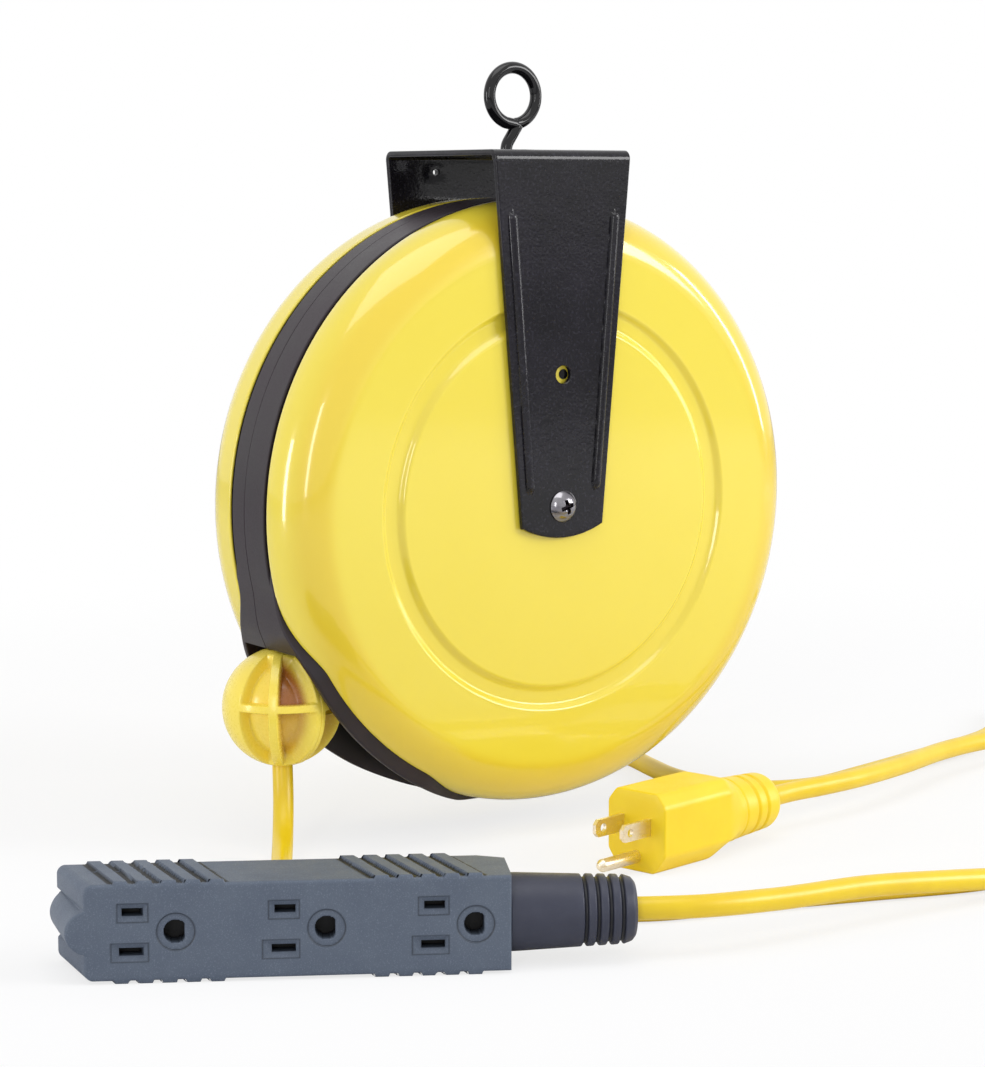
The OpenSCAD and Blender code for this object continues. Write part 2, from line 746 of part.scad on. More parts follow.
// Places of the six flange screws, each with +Z leading out of its flange's inner face.
module flange_screw_places() {
    for (side = [0, 1], a = [15, 135, 255])
        rotate([0, 0, a]) translate([flange_screw_r, 0, side == 0 ? spool_front_f : spool_rear_f])
            mirror([0, 0, side]) children();
}

// One flange with lightening windows outside the drum.
module flange(low) {
    difference() {
        disc(flange_r, low, low + flange_t);
        disc(bush_r + run_fit / 2, low - 1, low + flange_t + 1);
        for (a = [45 : 60 : 345]) rotate([0, 0, a]) translate([drum_r + 12, 0, 0])
            disc(6, low - 1, low + flange_t + 1);
        flange_screw_places() disc(1.25 + run_fit / 2, -1, flange_t + 1);
    }
}

module front_flange() { color("#d8d8d2") on_axle() flange(spool_front_f); }
module rear_flange() { color("#d8d8d2") on_axle() flange(spool_rear_f - flange_t); }

module flange_screws() {
    color("#c9cbd0") on_axle() flange_screw_places()
        translate([0, 0, flange_t]) domed_screw(1.25, flange_t + 7, 2.6, 1.5);
}

module bush(flange_f, into) {
    washer(bush_flange_r, axle_r + run_fit, flange_f, flange_f + bush_flange_t);
    washer(bush_r, axle_r + run_fit, into, into + bush_l);
}

module front_bush() {
    color("#efeee8") on_axle()
        bush(spool_front_f + flange_t, spool_front_f + flange_t - bush_l);
}

module rear_bush() {
    color("#efeee8") on_axle()
        bush(spool_rear_f - flange_t - bush_flange_t, spool_rear_f - flange_t);
}

// Saw-toothed wheel: each notch has a steep face and a long ramp up to the next one.
module ratchet_wheel() {
    pitch = 360 / ratchet_teeth;
    color("#8d9095") on_axle() translate([0, 0, spool_front_f + flange_t]) linear_extrude(ratchet_t)
        difference() {
            polygon([for (i = [0 : ratchet_teeth - 1], k = [0 : 4])
                polar(ratchet_r - tooth_depth * (k == 0 ? 1 : (k - 1) / 5),
                    pitch * i + tooth_phase + (k == 0 ? 0 : 1 + (pitch - 1) * (k - 1) / 5))]);
            circle(r = bush_flange_r + 2);
        }
}

module slip_ring_disc() {
    color("#2b2b2d") on_axle()
        washer(ring_radii[2] + 6, bush_flange_r + 1, ring_disc_f - ring_disc_t, ring_disc_f);
}

module slip_ring(r) {
    on_axle() washer(r + ring_w / 2, r - ring_w / 2, ring_face_f, ring_face_f + ring_t);
}

module line_ring() { color("#c69a3f") slip_ring(ring_radii[0]); }
module neutral_ring() { color("#c69a3f") slip_ring(ring_radii[1]); }
module ground_ring() { color("#c69a3f") slip_ring(ring_radii[2]); }

// The turns of cord on the drum, as one closed ring.
module wound_cord() {
    color("#e8b90f") on_axle()
        washer(wound_r, drum_r + pack_gap, spool_rear_f + pack_gap, spool_front_f - pack_gap);
}

// ---- Ball stop ----

// One half of the ball, on the side that +X points to before it is turned.
module ball_half() {
    floor_r = ball_r - ball_pocket;
    wedges = [[0, ball_mid_rib], [ball_mid_rib, 90]];
    difference() {
        intersection() {
            sphere(r = ball_r);
            translate([0, -ball_r, -ball_r]) cube([ball_r, ball_d, ball_d]);
        }
        translate([0, 0, -ball_r - 1]) cylinder(r = cord_d / 2 + slip_gap, h = ball_d + 2);
        for (up = [0, 1]) mirror([0, 0, up]) translate([0, 0, ball_r - 9])
            cylinder(r1 = cord_d / 2 + slip_gap, r2 = cord_d / 2 + 1.9, h = 10);
        for (up = [0, 1], side = [0, 1], w = side == 0 ? wedges : [wedges[1]])
            mirror([0, 0, up]) mirror([0, side, 0]) difference() {
                low = ball_rib * 0.4 + (up == 0 ? ball_belt : -ball_belt);
                intersection() {
                    translate([0, 0, low]) cube([ball_r + 1, ball_r + 1, ball_r * 0.85 - low]);
                    wedge_space(w[0], w[1]);
                }
                sphere(r = floor_r);
            }
    }
}

// Space between two upright planes at angles a0 and a1, each half a rib inside.
module wedge_space(a0, a1) {
    far = 2 * ball_r;
    lead = ball_rib / 2;
    foot = lead / sin((a1 - a0) / 2) * [cos((a0 + a1) / 2), sin((a0 + a1) / 2)];
    linear_extrude(far) polygon([foot, foot + polar(far, a0), foot + polar(far, a1)]);
}

module ball_place() {
    translate([-eye_step, 0, -axle_drop]) translate([ball_at[0], -ball_at[2], ball_at[1]]) rotate([0, 0, ball_turn])
        children();
}

// Screws that clamp the halves, put in from the side that faces the mouth.
module ball_screw_places() {
    for (y = [-12, 12]) translate([-ball_screw_in, y, 0]) rotate([0, -90, 0]) children();
}

module outer_ball_half() {
    color("#f4cc1d") ball_place() difference() {
        ball_half();
        ball_screw_places() disc(1.5 + run_fit / 2, -ball_screw_l - 1, 0);
    }
}

module inner_ball_half() {
    color("#f4cc1d") ball_place() difference() {
        mirror([1, 0, 0]) ball_half();
        ball_screw_places() {
            disc(1.5 + slip_gap, -ball_screw_l - 1, 1);
            disc(3.2, 0, ball_r);
        }
    }
}

module ball_screws() {
    color("#c9cbd0") ball_place() ball_screw_places() domed_screw(1.5, ball_screw_l, 2.9, 1.8);
}

// ---- Cords ----

module outlet_cord() {
    color("#f0c419") tube(smooth_route(outlet_route, route_steps - 1), cord_d / 2, cord_sides);
}

module supply_cord() {
    color("#f0c419") tube(smooth_route(supply_route, route_steps - 1), cord_d / 2, cord_sides);
}

// Gland of the supply cord: a collar inside, a collar outside and a tapered sleeve.
module supply_gland() {
    color("#2b2b2d") on_axle() translate([gland_at[0], gland_at[1], 0]) rotate([180, 0, 0])
        rotate_extrude() polygon([
            [gland_bore_r, inner_f - 4], [8.5, inner_f - 4], [8.5, inner_f - 0.1], [6.3, inner_f - 0.1],
            [6.3, face_f + 0.1], [9, face_f + 0.1], [9, face_f + 2.6], [7.6, face_f + 4],
            [5.6, face_f + 28], [gland_bore_r + 0.9, face_f + 28], [gland_bore_r, face_f + 18]]);
}

// ---- Outlet block ----

module on_block() {
    translate([block_at[0], block_at[1], block_mid_z]) rotate([0, 0, block_turn]) children();
}

// Free end of the block, seen along its own slanted edges: rounded shoulders with a round
// lobe between them.
module block_end_outline(shrink) {
    half = block_h / 2;
    from = shoulder_x * shrink;
    translate([from + corner_r, -half]) square([2 * lobe_r + block_slant, block_h]);
    translate([from, corner_r - half]) square([corner_r + eps, block_h - 2 * corner_r]);
    for (side = [-1, 1]) translate([from + corner_r, side * (half - corner_r)]) circle(r = corner_r);
    translate([lobe_r, 0]) circle(r = lobe_r);
}

// Block without its ribs. The back of the free end stands out further than its front.
module block_body() {
    half = block_h / 2;
    lean = atan(block_slant / block_dp);
    reach = block_dp / cos(lean) + block_slant;
    intersection() {
        translate([-block_slant - 1, -block_dp / 2, -half])
            cube([block_l + block_slant + 1, block_dp, block_h]);
        union() {
            translate([0, -block_dp / 2, 0]) rotate([0, 0, lean]) rotate([90, 0, 0])
                translate([0, 0, -reach]) linear_extrude(reach + 2 * lobe_r + block_slant)
                    block_end_outline(cos(lean));
            translate([2 * lobe_r, -block_dp / 2, -half]) cube([block_l - 2 * lobe_r, block_dp, block_h]);
        }
    }
}

// Slanted finger ribs on the top and the bottom of the block.
module block_ribs() {
    intersection() {
        translate([-block_slant, -block_dp / 2, -block_h / 2 - rib_rise])
            cube([block_l + block_slant, block_dp, block_h + 2 * rib_rise]);
        for (start = rib_starts, i = [0 : rib_count - 1]) {
            x = start + i * rib_pitch;
            front = -block_dp / 2 - eps;
            translate([0, 0, -block_h / 2 - rib_rise]) linear_extrude(block_h + 2 * rib_rise) polygon([
                [x, front], [x + rib_w, front], [x + rib_w - block_slant, -front], [x - block_slant, -front]]);
        }
    }
}

// The block's outside, with the corner behind the sleeve cut away.
module block_solid() {
    difference() {
        union() {
            block_body();
            block_ribs();
        }
        translate([0, 0, -block_h]) linear_extrude(2 * block_h) polygon([
            [block_l - 11, block_dp / 2 + 1], [block_l + 1, block_dp / 2 + 1], [block_l + 1, sleeve_d / 2 - 1]]);
    }
}

// Places of the outlets, at the middle between the slots.
module outlet_places() {
    for (i = [0 : 2]) translate([first_outlet_x + i * outlet_pitch, 0, 0]) children();
}

// Openings of one outlet: two slots with bevelled frames and a D-shaped ground hole.
module outlet_cut() {
    face = -block_dp / 2;
    right = line_slot_l / 2;
    for (s = [[line_slot_l, slot_gauge / 2], [neutral_slot_l, -slot_gauge / 2]]) {
        translate([right - s[0], face - 1, s[1] - slot_h / 2]) cube([s[0], slot_depth + 1, slot_h]);
        for (k = [0, 1]) translate([right - s[0] - 0.6 - k * 0.4, face - 1, s[1] - slot_h / 2 - 1.1 - k * 0.4])
            cube([s[0] + 1.2 + k * 0.8, 2 - k * 0.5, slot_h + 2.2 + k * 0.8]);
    }
    translate([ground_gauge, face, 0]) rotate([-90, 0, 0]) {
        translate([0, 0, -1]) intersection() {
            cylinder(r = ground_hole_r, h = slot_depth + 1);
            translate([-4, -4, 0]) cube([4 + ground_hole_r * 0.6, 8, slot_depth + 1]);
        }
        translate([0, 0, -1]) washer(ground_ring_r, ground_ring_r - 0.5, 0, 1.4);
    }
}

// Space inside the block for the three contact bars.
module bar_spaces(grow) {
    bar(slot_gauge / 2, grow, false);
    bar(-slot_gauge / 2, grow, false);
    bar(0, grow, true);
}

// One contact bar: a strip along the block with a pair of leaves behind each opening.
module bar(z, grow, ground) {
    leaf_x = ground ? ground_gauge : 0;
    leaf_half = ground ? ground_hole_r + 0.6 : leaf_gap;
    leaf_w = ground ? 4.5 : 6;
    first = first_outlet_x + leaf_x - leaf_w / 2 - 1;
    half = leaf_half + bar_t / 2 + 0.3;
    translate([first - grow, bar_y - grow, z - half - grow])
        cube([2 * outlet_pitch + leaf_w + 1 + 2 * grow, bar_t + 2 * grow, 2 * (half + grow)]);
    outlet_places() for (side = [-1, 1])
        translate([leaf_x - leaf_w / 2 - grow, -7 - grow, z + side * leaf_half - bar_t / 2 - grow])
            cube([leaf_w + 2 * grow, bar_y + 7.4 + 2 * grow, bar_t + 2 * grow]);
}

module block_front() {
    color("#3f4b59") on_block() difference() {
        intersection() {
            block_solid();
            translate([-block_slant - 1, -block_dp, -block_h])
                cube([block_l + block_slant + 2, block_dp + split_y, 2 * block_h]);
        }
        outlet_places() outlet_cut();
        bar_spaces(slip_gap);
        sleeve_seat(slip_gap);
        block_screw_places() disc(1.5 + run_fit / 2, -14.5, 30);
    }
}

module block_back() {
    color("#3f4b59") on_block() difference() {
        intersection() {
            block_solid();
            translate([-block_slant - 1, split_y, -block_h])
                cube([block_l + block_slant + 2, block_dp, 2 * block_h]);
        }
        bar_spaces(slip_gap);
        sleeve_seat(slip_gap);
        block_screw_places() {
            disc(1.5 + slip_gap, -10, 30);
            disc(3.4, 0, 30);
        }
    }
}

// Places of the screws in the block's back, +Z leading out of the back.
module block_screw_places() {
    for (x = block_screw_x, z = [-11.5, 11.5])
        translate([x, block_dp / 2 - 3, z]) rotate([-90, 0, 0]) children();
}

module block_screws() {
    color("#c9cbd0") on_block() block_screw_places() domed_screw(1.5, 14, 3, 2);
}

module sleeve_seat(grow) {
    translate([block_l - 9 - grow, 0, 0]) rotate([0, 90, 0]) cylinder(r = sleeve_d / 2 - 4 + grow, h = 12);
}

// Tapered sleeve of the outlet cord with ring grooves at its end.
module block_sleeve() {
    end_r = sleeve_d / 2 - 1;
    groove_at = [for (i = [0 : 3]) sleeve_l - 5 - 4 * i];
    color("#333b46") on_block() translate([block_l, 0, 0]) rotate([0, 90, 0]) rotate_extrude() difference() {
        polygon(concat(
            [[cord_d / 2 + slip_gap, -9], [sleeve_d / 2 - 4, -9], [sleeve_d / 2 - 4, 0.05], [sleeve_d / 2, 0.05]],
            [[end_r, sleeve_l - 5]], arc([end_r - 4, sleeve_l - 4], 4, 0, 90, 6),
            [[cord_d / 2 + 1.1, sleeve_l], [cord_d / 2 + slip_gap, sleeve_l - 10]]));
        for (g = groove_at) translate([end_r - 1.1, g - 0.8]) square([4, 1.6]);
    }
}

module line_bar() { color("#c69a3f") on_block() bar(slot_gauge / 2, 0, false); }
module neutral_bar() { color("#c69a3f") on_block() bar(-slot_gauge / 2, 0, false); }
module ground_bar() { color("#c69a3f") on_block() bar(0, 0, true); }

// ---- Plug ----

module on_plug() {
    translate([plug_at[0], plug_at[1], plug_axis_z]) rotate([0, 0, plug_turn]) children();
}

// Six-sided slice of the plug's body, square to its length.
module plug_slice(x, w, top, low, taper) {
    half = w / 2;
    translate([x, 0, 0]) rotate([90, 0, 90]) linear_extrude(eps) polygon([
        [-half, top - taper], [taper - half, top], [half - taper, top], [half, top - taper],
        [half, 3.5 - low], [half - 5.5, -low], [5.5 - half, -low], [-half, 3.5 - low]]);
}

module plug_body() {
    top = plug_h - (plug_axis_z - floor_z);
    low = plug_axis_z - floor_z;
    color("#f6d51b") on_plug() difference() {
        union() {
            hull() {
                plug_slice(0, plug_w, top, low, 4);
                plug_slice(plug_body_l * 0.5, plug_w, top, low, 4);
                plug_slice(plug_body_l * 0.75, plug_w, top, low - 6, 4);
            }
            hull() {
                plug_slice(plug_body_l * 0.45, plug_w, top, low - 5, 4);
                translate([plug_body_l, 0, 0]) rotate([0, 90, 0]) cylinder(r = plug_neck_r + 1, h = eps, $fn = 32);
            }
            translate([plug_body_l, 0, 0]) rotate([0, 90, 0]) plug_neck();
        }
        translate([plug_l - plug_cord_l, 0, 0]) rotate([0, 90, 0]) {
            cylinder(r = cord_d / 2 + slip_gap, h = plug_cord_l + 1);
            translate([0, 0, plug_cord_l - 8]) cylinder(r1 = cord_d / 2 + slip_gap, r2 = cord_d / 2 + 1, h = 8 + eps);
        }
        for (y = [-1, 1]) translate([-1, y * slot_gauge / 2 - blade_t / 2 - slip_gap, -blade_w / 2 + blade_drop])
            translate([0, 0, -slip_gap])
                cube([blade_set + 1 + slip_gap, blade_t + 2 * slip_gap, blade_w + 2 * slip_gap]);
        translate([-1, 0, blade_drop - ground_gauge]) rotate([0, 90, 0])
            cylinder(r = pin_r + slip_gap, h = blade_set + 1 + slip_gap);
    }
}

// Round neck behind the body, with two ring grooves and a rounded end.
module plug_neck() {
    neck_l = plug_l - plug_body_l;
    rotate_extrude() difference() {
        polygon(concat([[0, -2], [plug_neck_r + 0.9, -2], [plug_neck_r, neck_l - 6]],
            arc([plug_neck_r - 5, neck_l - 5], 5, 0, 90, 6), [[0, neck_l]]));
        for (g = [neck_l - 18, neck_l - 12]) translate([plug_neck_r - 1, g]) square([3, 2]);
    }
}

// Flat blade with a clipped tip and a locating hole.
module blade(y) {
    on_plug() translate([0, y, blade_drop]) difference() {
        translate([0, blade_t / 2, 0]) rotate([90, 0, 0]) linear_extrude(blade_t) polygon([
            [blade_set, -blade_w / 2], [blade_set, blade_w / 2], [1.6 - blade_l, blade_w / 2],
            [-blade_l, blade_w / 2 - 1.6], [-blade_l, 1.6 - blade_w / 2], [1.6 - blade_l, -blade_w / 2]]);
        translate([4.3 - blade_l, 0, 0]) rotate([90, 0, 0]) cylinder(r = 1.6, h = 4, center = true);
    }
}

module line_blade() { color("#c9a24a") blade(-slot_gauge / 2); }
module neutral_blade() { color("#c9a24a") blade(slot_gauge / 2); }

module ground_pin() {
    color("#c9a24a") on_plug() translate([0, 0, blade_drop - ground_gauge]) rotate([0, -90, 0]) {
        disc(pin_r, -blade_set, pin_l - 1.6);
        translate([0, 0, pin_l - 1.6 - eps]) cylinder(r1 = pin_r, r2 = 1.2, h = 1.6 + eps);
    }
}

eye_bolt();
eye_nut();
eye_washer();
yoke();
front_axle_screw();
rear_axle_screw();
front_cover();
rear_cover();
front_rim_band();
rear_rim_band();
axle();
axle_spacers();
pawl_plate();
pawl_pin();
pawl();
pawl_spring();
spring_arbor();
power_spring();
contact_block();
contact_screws();
line_finger();
neutral_finger();
ground_finger();
supply_leads();
drum();
front_flange();
rear_flange();
flange_screws();
front_bush();
rear_bush();
ratchet_wheel();
slip_ring_disc();
line_ring();
neutral_ring();
ground_ring();
wound_cord();
outlet_cord();
outer_ball_half();
inner_ball_half();
ball_screws();
block_front();
block_back();
block_screws();
block_sleeve();
line_bar();
neutral_bar();
ground_bar();
supply_gland();
supply_cord();
plug_body();
line_blade();
neutral_blade();
ground_pin();
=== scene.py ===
import json
import math

import bmesh
import bpy
import numpy as np
from bpy.props import FloatProperty, FloatVectorProperty, PointerProperty
from bpy.types import Operator, Panel, PropertyGroup
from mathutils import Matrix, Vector

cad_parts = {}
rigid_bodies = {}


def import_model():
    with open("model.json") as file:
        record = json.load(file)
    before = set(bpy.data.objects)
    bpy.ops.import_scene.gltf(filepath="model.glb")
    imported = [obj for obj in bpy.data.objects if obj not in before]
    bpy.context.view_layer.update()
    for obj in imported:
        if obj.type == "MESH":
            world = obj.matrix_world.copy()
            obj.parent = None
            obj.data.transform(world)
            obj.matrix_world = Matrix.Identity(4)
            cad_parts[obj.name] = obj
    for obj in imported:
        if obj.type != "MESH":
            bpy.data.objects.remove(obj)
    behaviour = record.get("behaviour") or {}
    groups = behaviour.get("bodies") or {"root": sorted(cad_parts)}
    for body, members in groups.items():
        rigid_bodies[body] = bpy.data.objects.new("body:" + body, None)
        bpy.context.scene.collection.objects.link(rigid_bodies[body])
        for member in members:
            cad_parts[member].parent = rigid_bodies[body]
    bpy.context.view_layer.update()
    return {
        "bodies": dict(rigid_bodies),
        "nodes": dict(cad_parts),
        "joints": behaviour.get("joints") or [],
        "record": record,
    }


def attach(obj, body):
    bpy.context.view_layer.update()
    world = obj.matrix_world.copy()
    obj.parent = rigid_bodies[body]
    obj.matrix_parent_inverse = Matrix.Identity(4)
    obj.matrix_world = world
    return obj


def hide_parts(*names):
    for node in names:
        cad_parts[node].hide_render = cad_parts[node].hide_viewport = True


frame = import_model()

bl_info = {
    "name": "Cord Reel Looks",
    "version": (1, 0, 0),
    "blender": (4, 5, 0),
    "location": "3D View > Sidebar > Cord Reel",
    "description": "Builds the visible pieces and finishes of a retractable cord reel "
                   "on its packed frame",
    "category": "Object",
}

# All shapes are worked out in millimetres and put into their meshes in metres.
MM = 0.001

# Edges sharper than this many degrees stay sharp, and a tube's end has this many rows.
SHARP = 38.0
CAP_ROWS = 5

# Housing, along the axle's own frame: x across, y up, f towards the front
HOUSING_R = 116.0
FACE_F = 36.3
EDGE_R = 18.0
COVER_WALL = 1.2
COVER_BORE_R = 4.1
GROOVE_R, GROOVE_HALF, GROOVE_RAMP = 73.7, 2.2, 3.0
BAND_MID_F = 2.5
BAND_HALF = 14.0
BAND_IN_R = 111.6
TONGUE_R = 114.6
CHANNEL_W = 2.2
TONGUE_L = 3.0
MOUTH_DIR = 227.0
MOUTH_LEN = 124.0
MOUTH_W = 51.0
MOUTH_FROM = 193.0
MOUTH_TO = 261.0
MOUTH_IN_R = 101.3
HOOD_EDGE = 205.0
TROUGH_TO = 253.0
TROUGH_R = 102.95
LIP_W = 3.0

# Yoke
YOKE_RISE = 134.0
YOKE_HALF_TOP = 31.0
YOKE_HALF_END = 18.5
YOKE_TAIL = 12.0
ARM_CORNER_DROP = 7.4
SHEET = 2.3
ARM_OUT_F = 38.9
BEND_R = 3.6
YOKE_EDGE_R = 0.5
BEAD_FOOT, BEAD_TOP = (15.2, 8.0), (23.3, 109.0)
BEAD_HALF = 1.9
STAMP_AT = (-9.0, 126.0)

# Eye bolt and axle screws
EYE_RING_R, EYE_ROD_R = 10.7, 2.3
THREAD_PITCH = 0.9
HEAD_R, HEAD_H, HEAD_RIM = 6.0, 3.6, 0.5

# Ball, block and plug
BALL_AT = (-102.0, -72.0, 2.0)
BALL_TURN = 192.0
BALL_R = 22.3
BALL_BELT = 2.5
BLOCK_AT = (-237.0, -107.5, -266.5)
BLOCK_TURN = -28.0
BLOCK_L = 135.5
BLOCK_SLANT = 10.0
SLEEVE_L = 41.5
SLEEVE_R, SLEEVE_TAPER = 12.6, 0.036
BLOCK_HALF_H = 15.5
BLOCK_HALF_D = 14.5
SPLIT_Y = 3.0
PLUG_AT = (-11.6, -98.0, -268.5)
PLUG_TURN = 13.7
FLOOR_Z = -283.0

# Gland and wound cord
GLAND_AT = (30.0, -50.0)
DRUM_R, LAYER_RISE = 62.2, 6.65
WOUND_W, WOUND_R = 22.6, 3.8

OUTLET_ROUTE = np.array([
    (-105, -2, -158), (-105, -2, -184), (-105, -2, -210), (-105, -2, -232),
    (-105, -2, -240), (-105, -2, -248),
    (-107, -6, -262), (-113, -16, -274), (-123, -33, -279), (-133, -52, -279),
    (-138, -73, -279), (-135, -94, -279), (-121, -111, -279), (-99, -124, -279),
    (-74, -141, -279), (-50, -157, -279), (-25, -164, -279), (5, -171, -279),
    (35, -179, -279), (75, -189, -279), (112, -187, -279), (146, -173, -279),
    (179, -162, -279), (210, -171, -279), (228, -199, -279), (221, -231, -279),
    (196, -250, -279), (165, -246, -279), (136, -229, -278.5), (107, -211, -277.5),
    (77, -202, -276), (44, -200, -273), (10, -200, -270), (-28, -201, -268.5),
    (-59, -199, -267), (-84, -188.9, -266.5), (-94, -183.5, -266.5),
    (-105, -177.7, -266.5), (-123.9, -167.6, -266.5),
], float)
SUPPLY_ROUTE = np.array([
    (27, 31.4, -205), (27, 50, -205), (27, 68, -205), (28, 86, -209), (32, 103, -220),
    (39, 117, -236), (50, 126, -254), (66, 127, -270), (84, 119, -278),
    (97, 102, -279), (101, 80, -279), (98, 55, -279), (92, 30, -279),
    (88, 8, -279), (91, -15, -279), (105, -31, -279), (127, -36, -279),
    (157, -29, -279), (186, -21, -279), (218, -12, -279), (254, 0, -279),
    (284, 20, -279), (312, 42, -279), (346, 44, -279), (371, 15, -278),
    (361, -20, -277), (327, -36, -275.5), (290, -32, -274), (255, -27, -273),
    (222, -31, -272), (190, -41, -271), (156, -56, -270), (124, -68, -269),
    (99, -74, -268.5), (80, -76, -268.5), (62, -80.1, -268.5), (47, -83.7, -268.5),
], float)


def linear(code):
    """Scene-linear colour of a six-digit sRGB code."""
    def one(v):
        return v / 12.92 if v <= 0.04045 else ((v + 0.055) / 1.055) ** 2.4
    return tuple(one(int(code[i:i + 2], 16) / 255) for i in (0, 2, 4))


# ---- Sizes and colours that a user would change ----

def length(name, default, low, high, about):
    return FloatProperty(name=name, description=about, default=default, min=low, max=high,
                         unit="LENGTH", precision=4)


def colour(name, code, about):
    return FloatVectorProperty(name=name, description=about, default=linear(code), size=3,
                               min=0.0, max=1.0, subtype="COLOR")


class ReelSizes(PropertyGroup):
    cord_diameter: length("Cord diameter", 0.0077, 0.006, 0.009, "Outside diameter of both cords")
    outlet_cord_length: length("Outlet cord", 1.03, 0.9, 1.1,
                               "Drawn length of the cord that ends in the outlets")
    supply_cord_length: length("Supply cord", 0.99, 0.9, 1.05,
                               "Drawn length of the cord that ends in the plug")
    groove_depth: length("Groove depth", 0.002, 0.0005, 0.0024,
                         "Depth of the pressed ring in each cover")
    bead_rise: length("Bead rise", 0.0017, 0.0, 0.002,
                      "Height of the stiffening beads on the yoke's arms")
    lip_rise: length("Lip rise", 0.0023, 0.0005, 0.003,
                     "Height of the mouth's lips above the rim band")
    grip_rise: length("Grip rise", 0.001, 0.0, 0.0015,
                      "Height of the finger ribs on the outlet block")
    pocket_depth: length("Pocket depth", 0.006, 0.002, 0.007,
                         "Depth of the pockets in the ball stop")
    key_power: FloatProperty(name="Key lamp", description="Power of the main lamp", default=13.0,
                             min=0.0, max=60.0, unit="POWER")


class ReelColours(PropertyGroup):
    cover_yellow: colour("Covers", "F3DF49", "Gloss enamel of the two covers")
    enamel_black: colour("Yoke", "0A090B", "Gloss enamel of the yoke and the eye bolt")
    band_charcoal: colour("Rim band", "241E22", "Satin moulding of the rim band and the mouth")
    cord_yellow: colour("Cords", "F2D21E", "Vinyl jacket of both cords")
    ball_yellow: colour("Ball stop", "FFEA5C", "Moulding of the ball stop")
    plug_yellow: colour("Plug", "F8DA1C", "Soft moulding of the plug")
    block_slate: colour("Outlet block", "5C6675", "Grained moulding of the outlet block")
    sleeve_slate: colour("Sleeve", "3A3D4C", "Soft moulding of the block's cord sleeve")
    blade_brass: colour("Blades", "F3EAD8", "Brass of the plug's blades and pin")
    floor_white: colour("Floor", "F4F4F6", "Paper that everything stands on")


def sizes():
    return bpy.context.scene.cord_reel_sizes


def colours():
    return bpy.context.scene.cord_reel_colours


# ---- Making meshes from computed surfaces ----

def ease(t):
    """Step from 0 to 1 with flat ends: u squared times (3 - 2u), u kept between 0 and 1."""
    u = np.clip(t, 0.0, 1.0)
    return u * u * (3.0 - 2.0 * u)


def quarter(u):
    """Fall of a unit quarter circle at u from its top: 1 less the root of (1 - u squared), u
    kept between 0 and 1."""
    return 1.0 - np.sqrt(1.0 - np.clip(u, 0.0, 1.0) ** 2)


def round_edge(d, r):
    """Fall of an edge rounded with radius r, at a distance d in from it."""
    return r * quarter(1.0 - d / r)


def from_axle(points):
    """Axle frame (x, y, f) to the row frame: x - 3, -f, y - 155."""
    return np.stack([points[..., 0] - 3.0, -points[..., 2], points[..., 1] - 155.0], -1)


def turned(points, at, degrees):
    """Turns points about Z and moves them to their place."""
    a = math.radians(degrees)
    x = points[..., 0] * math.cos(a) - points[..., 1] * math.sin(a)
    y = points[..., 0] * math.sin(a) + points[..., 1] * math.cos(a)
    return np.stack([x, y, points[..., 2]], -1) + np.array(at, float)


def make_piece(name, sheets, sharp=SHARP, marks=None, maps=None):
    """Puts grids of points into one mesh: quads between neighbouring points of each grid,
    touching borders merged, faces turned outwards. marks holds one number for each point, the
    share of painted shade, and maps a pair of texture coordinates."""
    points, faces, start = [], [], 0
    for grid in sheets:
        rows, cols = grid.shape[:2]
        i = np.arange(rows - 1)[:, None] * cols + np.arange(cols - 1)[None, :] + start
        faces.append(np.stack([i, i + 1, i + cols + 1, i + cols], -1).reshape(-1, 4))
        points.append(grid.reshape(-1, 3))
        start += rows * cols
    points, faces = np.concatenate(points), np.concatenate(faces)
    mesh = bpy.data.meshes.new(name)
    mesh.vertices.add(len(points))
    mesh.vertices.foreach_set("co", (points * MM).ravel())
    mesh.loops.add(faces.size)
    mesh.loops.foreach_set("vertex_index", faces.ravel())
    mesh.polygons.add(len(faces))
    mesh.polygons.foreach_set("loop_start", np.arange(0, faces.size, 4))
    mesh.update(calc_edges=True)
    # The marks, the share of painted shade, go into the recess attribute
    if marks is not None:
        layer = mesh.attributes.new("recess", "FLOAT", "POINT")
        values = np.concatenate([m.ravel() for m in marks])
        layer.data.foreach_set("value", values.astype(np.float32))
    if maps is not None:
        flat = np.concatenate([m.reshape(-1, 2) for m in maps])
        layer = mesh.uv_layers.new(name="UVMap")
        layer.uv.foreach_set("vector", flat[faces.ravel()].astype(np.float32).ravel())
    bm = bmesh.new()
    bm.from_mesh(mesh)
    bmesh.ops.remove_doubles(bm, verts=bm.verts, dist=3e-6)
    bmesh.ops.recalc_face_normals(bm, faces=bm.faces)
    bm.to_mesh(mesh)
    bm.free()
    mesh.polygons.foreach_set("use_smooth", np.ones(len(mesh.polygons), bool))
    mesh.set_sharp_from_angle(angle=math.radians(sharp))
    mesh.validate()
    made = bpy.data.objects.new(name, mesh)
    bpy.context.scene.collection.objects.link(made)
    return made


def cut(made, cutters):
    """Takes the cutters' space out of a piece, then removes the cutters."""
    for cutter in cutters:
        step = made.modifiers.new("cut", "BOOLEAN")
        step.operation, step.solver, step.object = "DIFFERENCE", "EXACT", cutter
    bpy.context.view_layer.update()
    shaped = made.evaluated_get(bpy.context.evaluated_depsgraph_get())
    mesh = bpy.data.meshes.new_from_object(shaped)
    made.modifiers.clear()
    made.data = mesh
    for cutter in cutters:
        bpy.data.objects.remove(cutter)
    mesh.set_sharp_from_angle(angle=math.radians(SHARP))


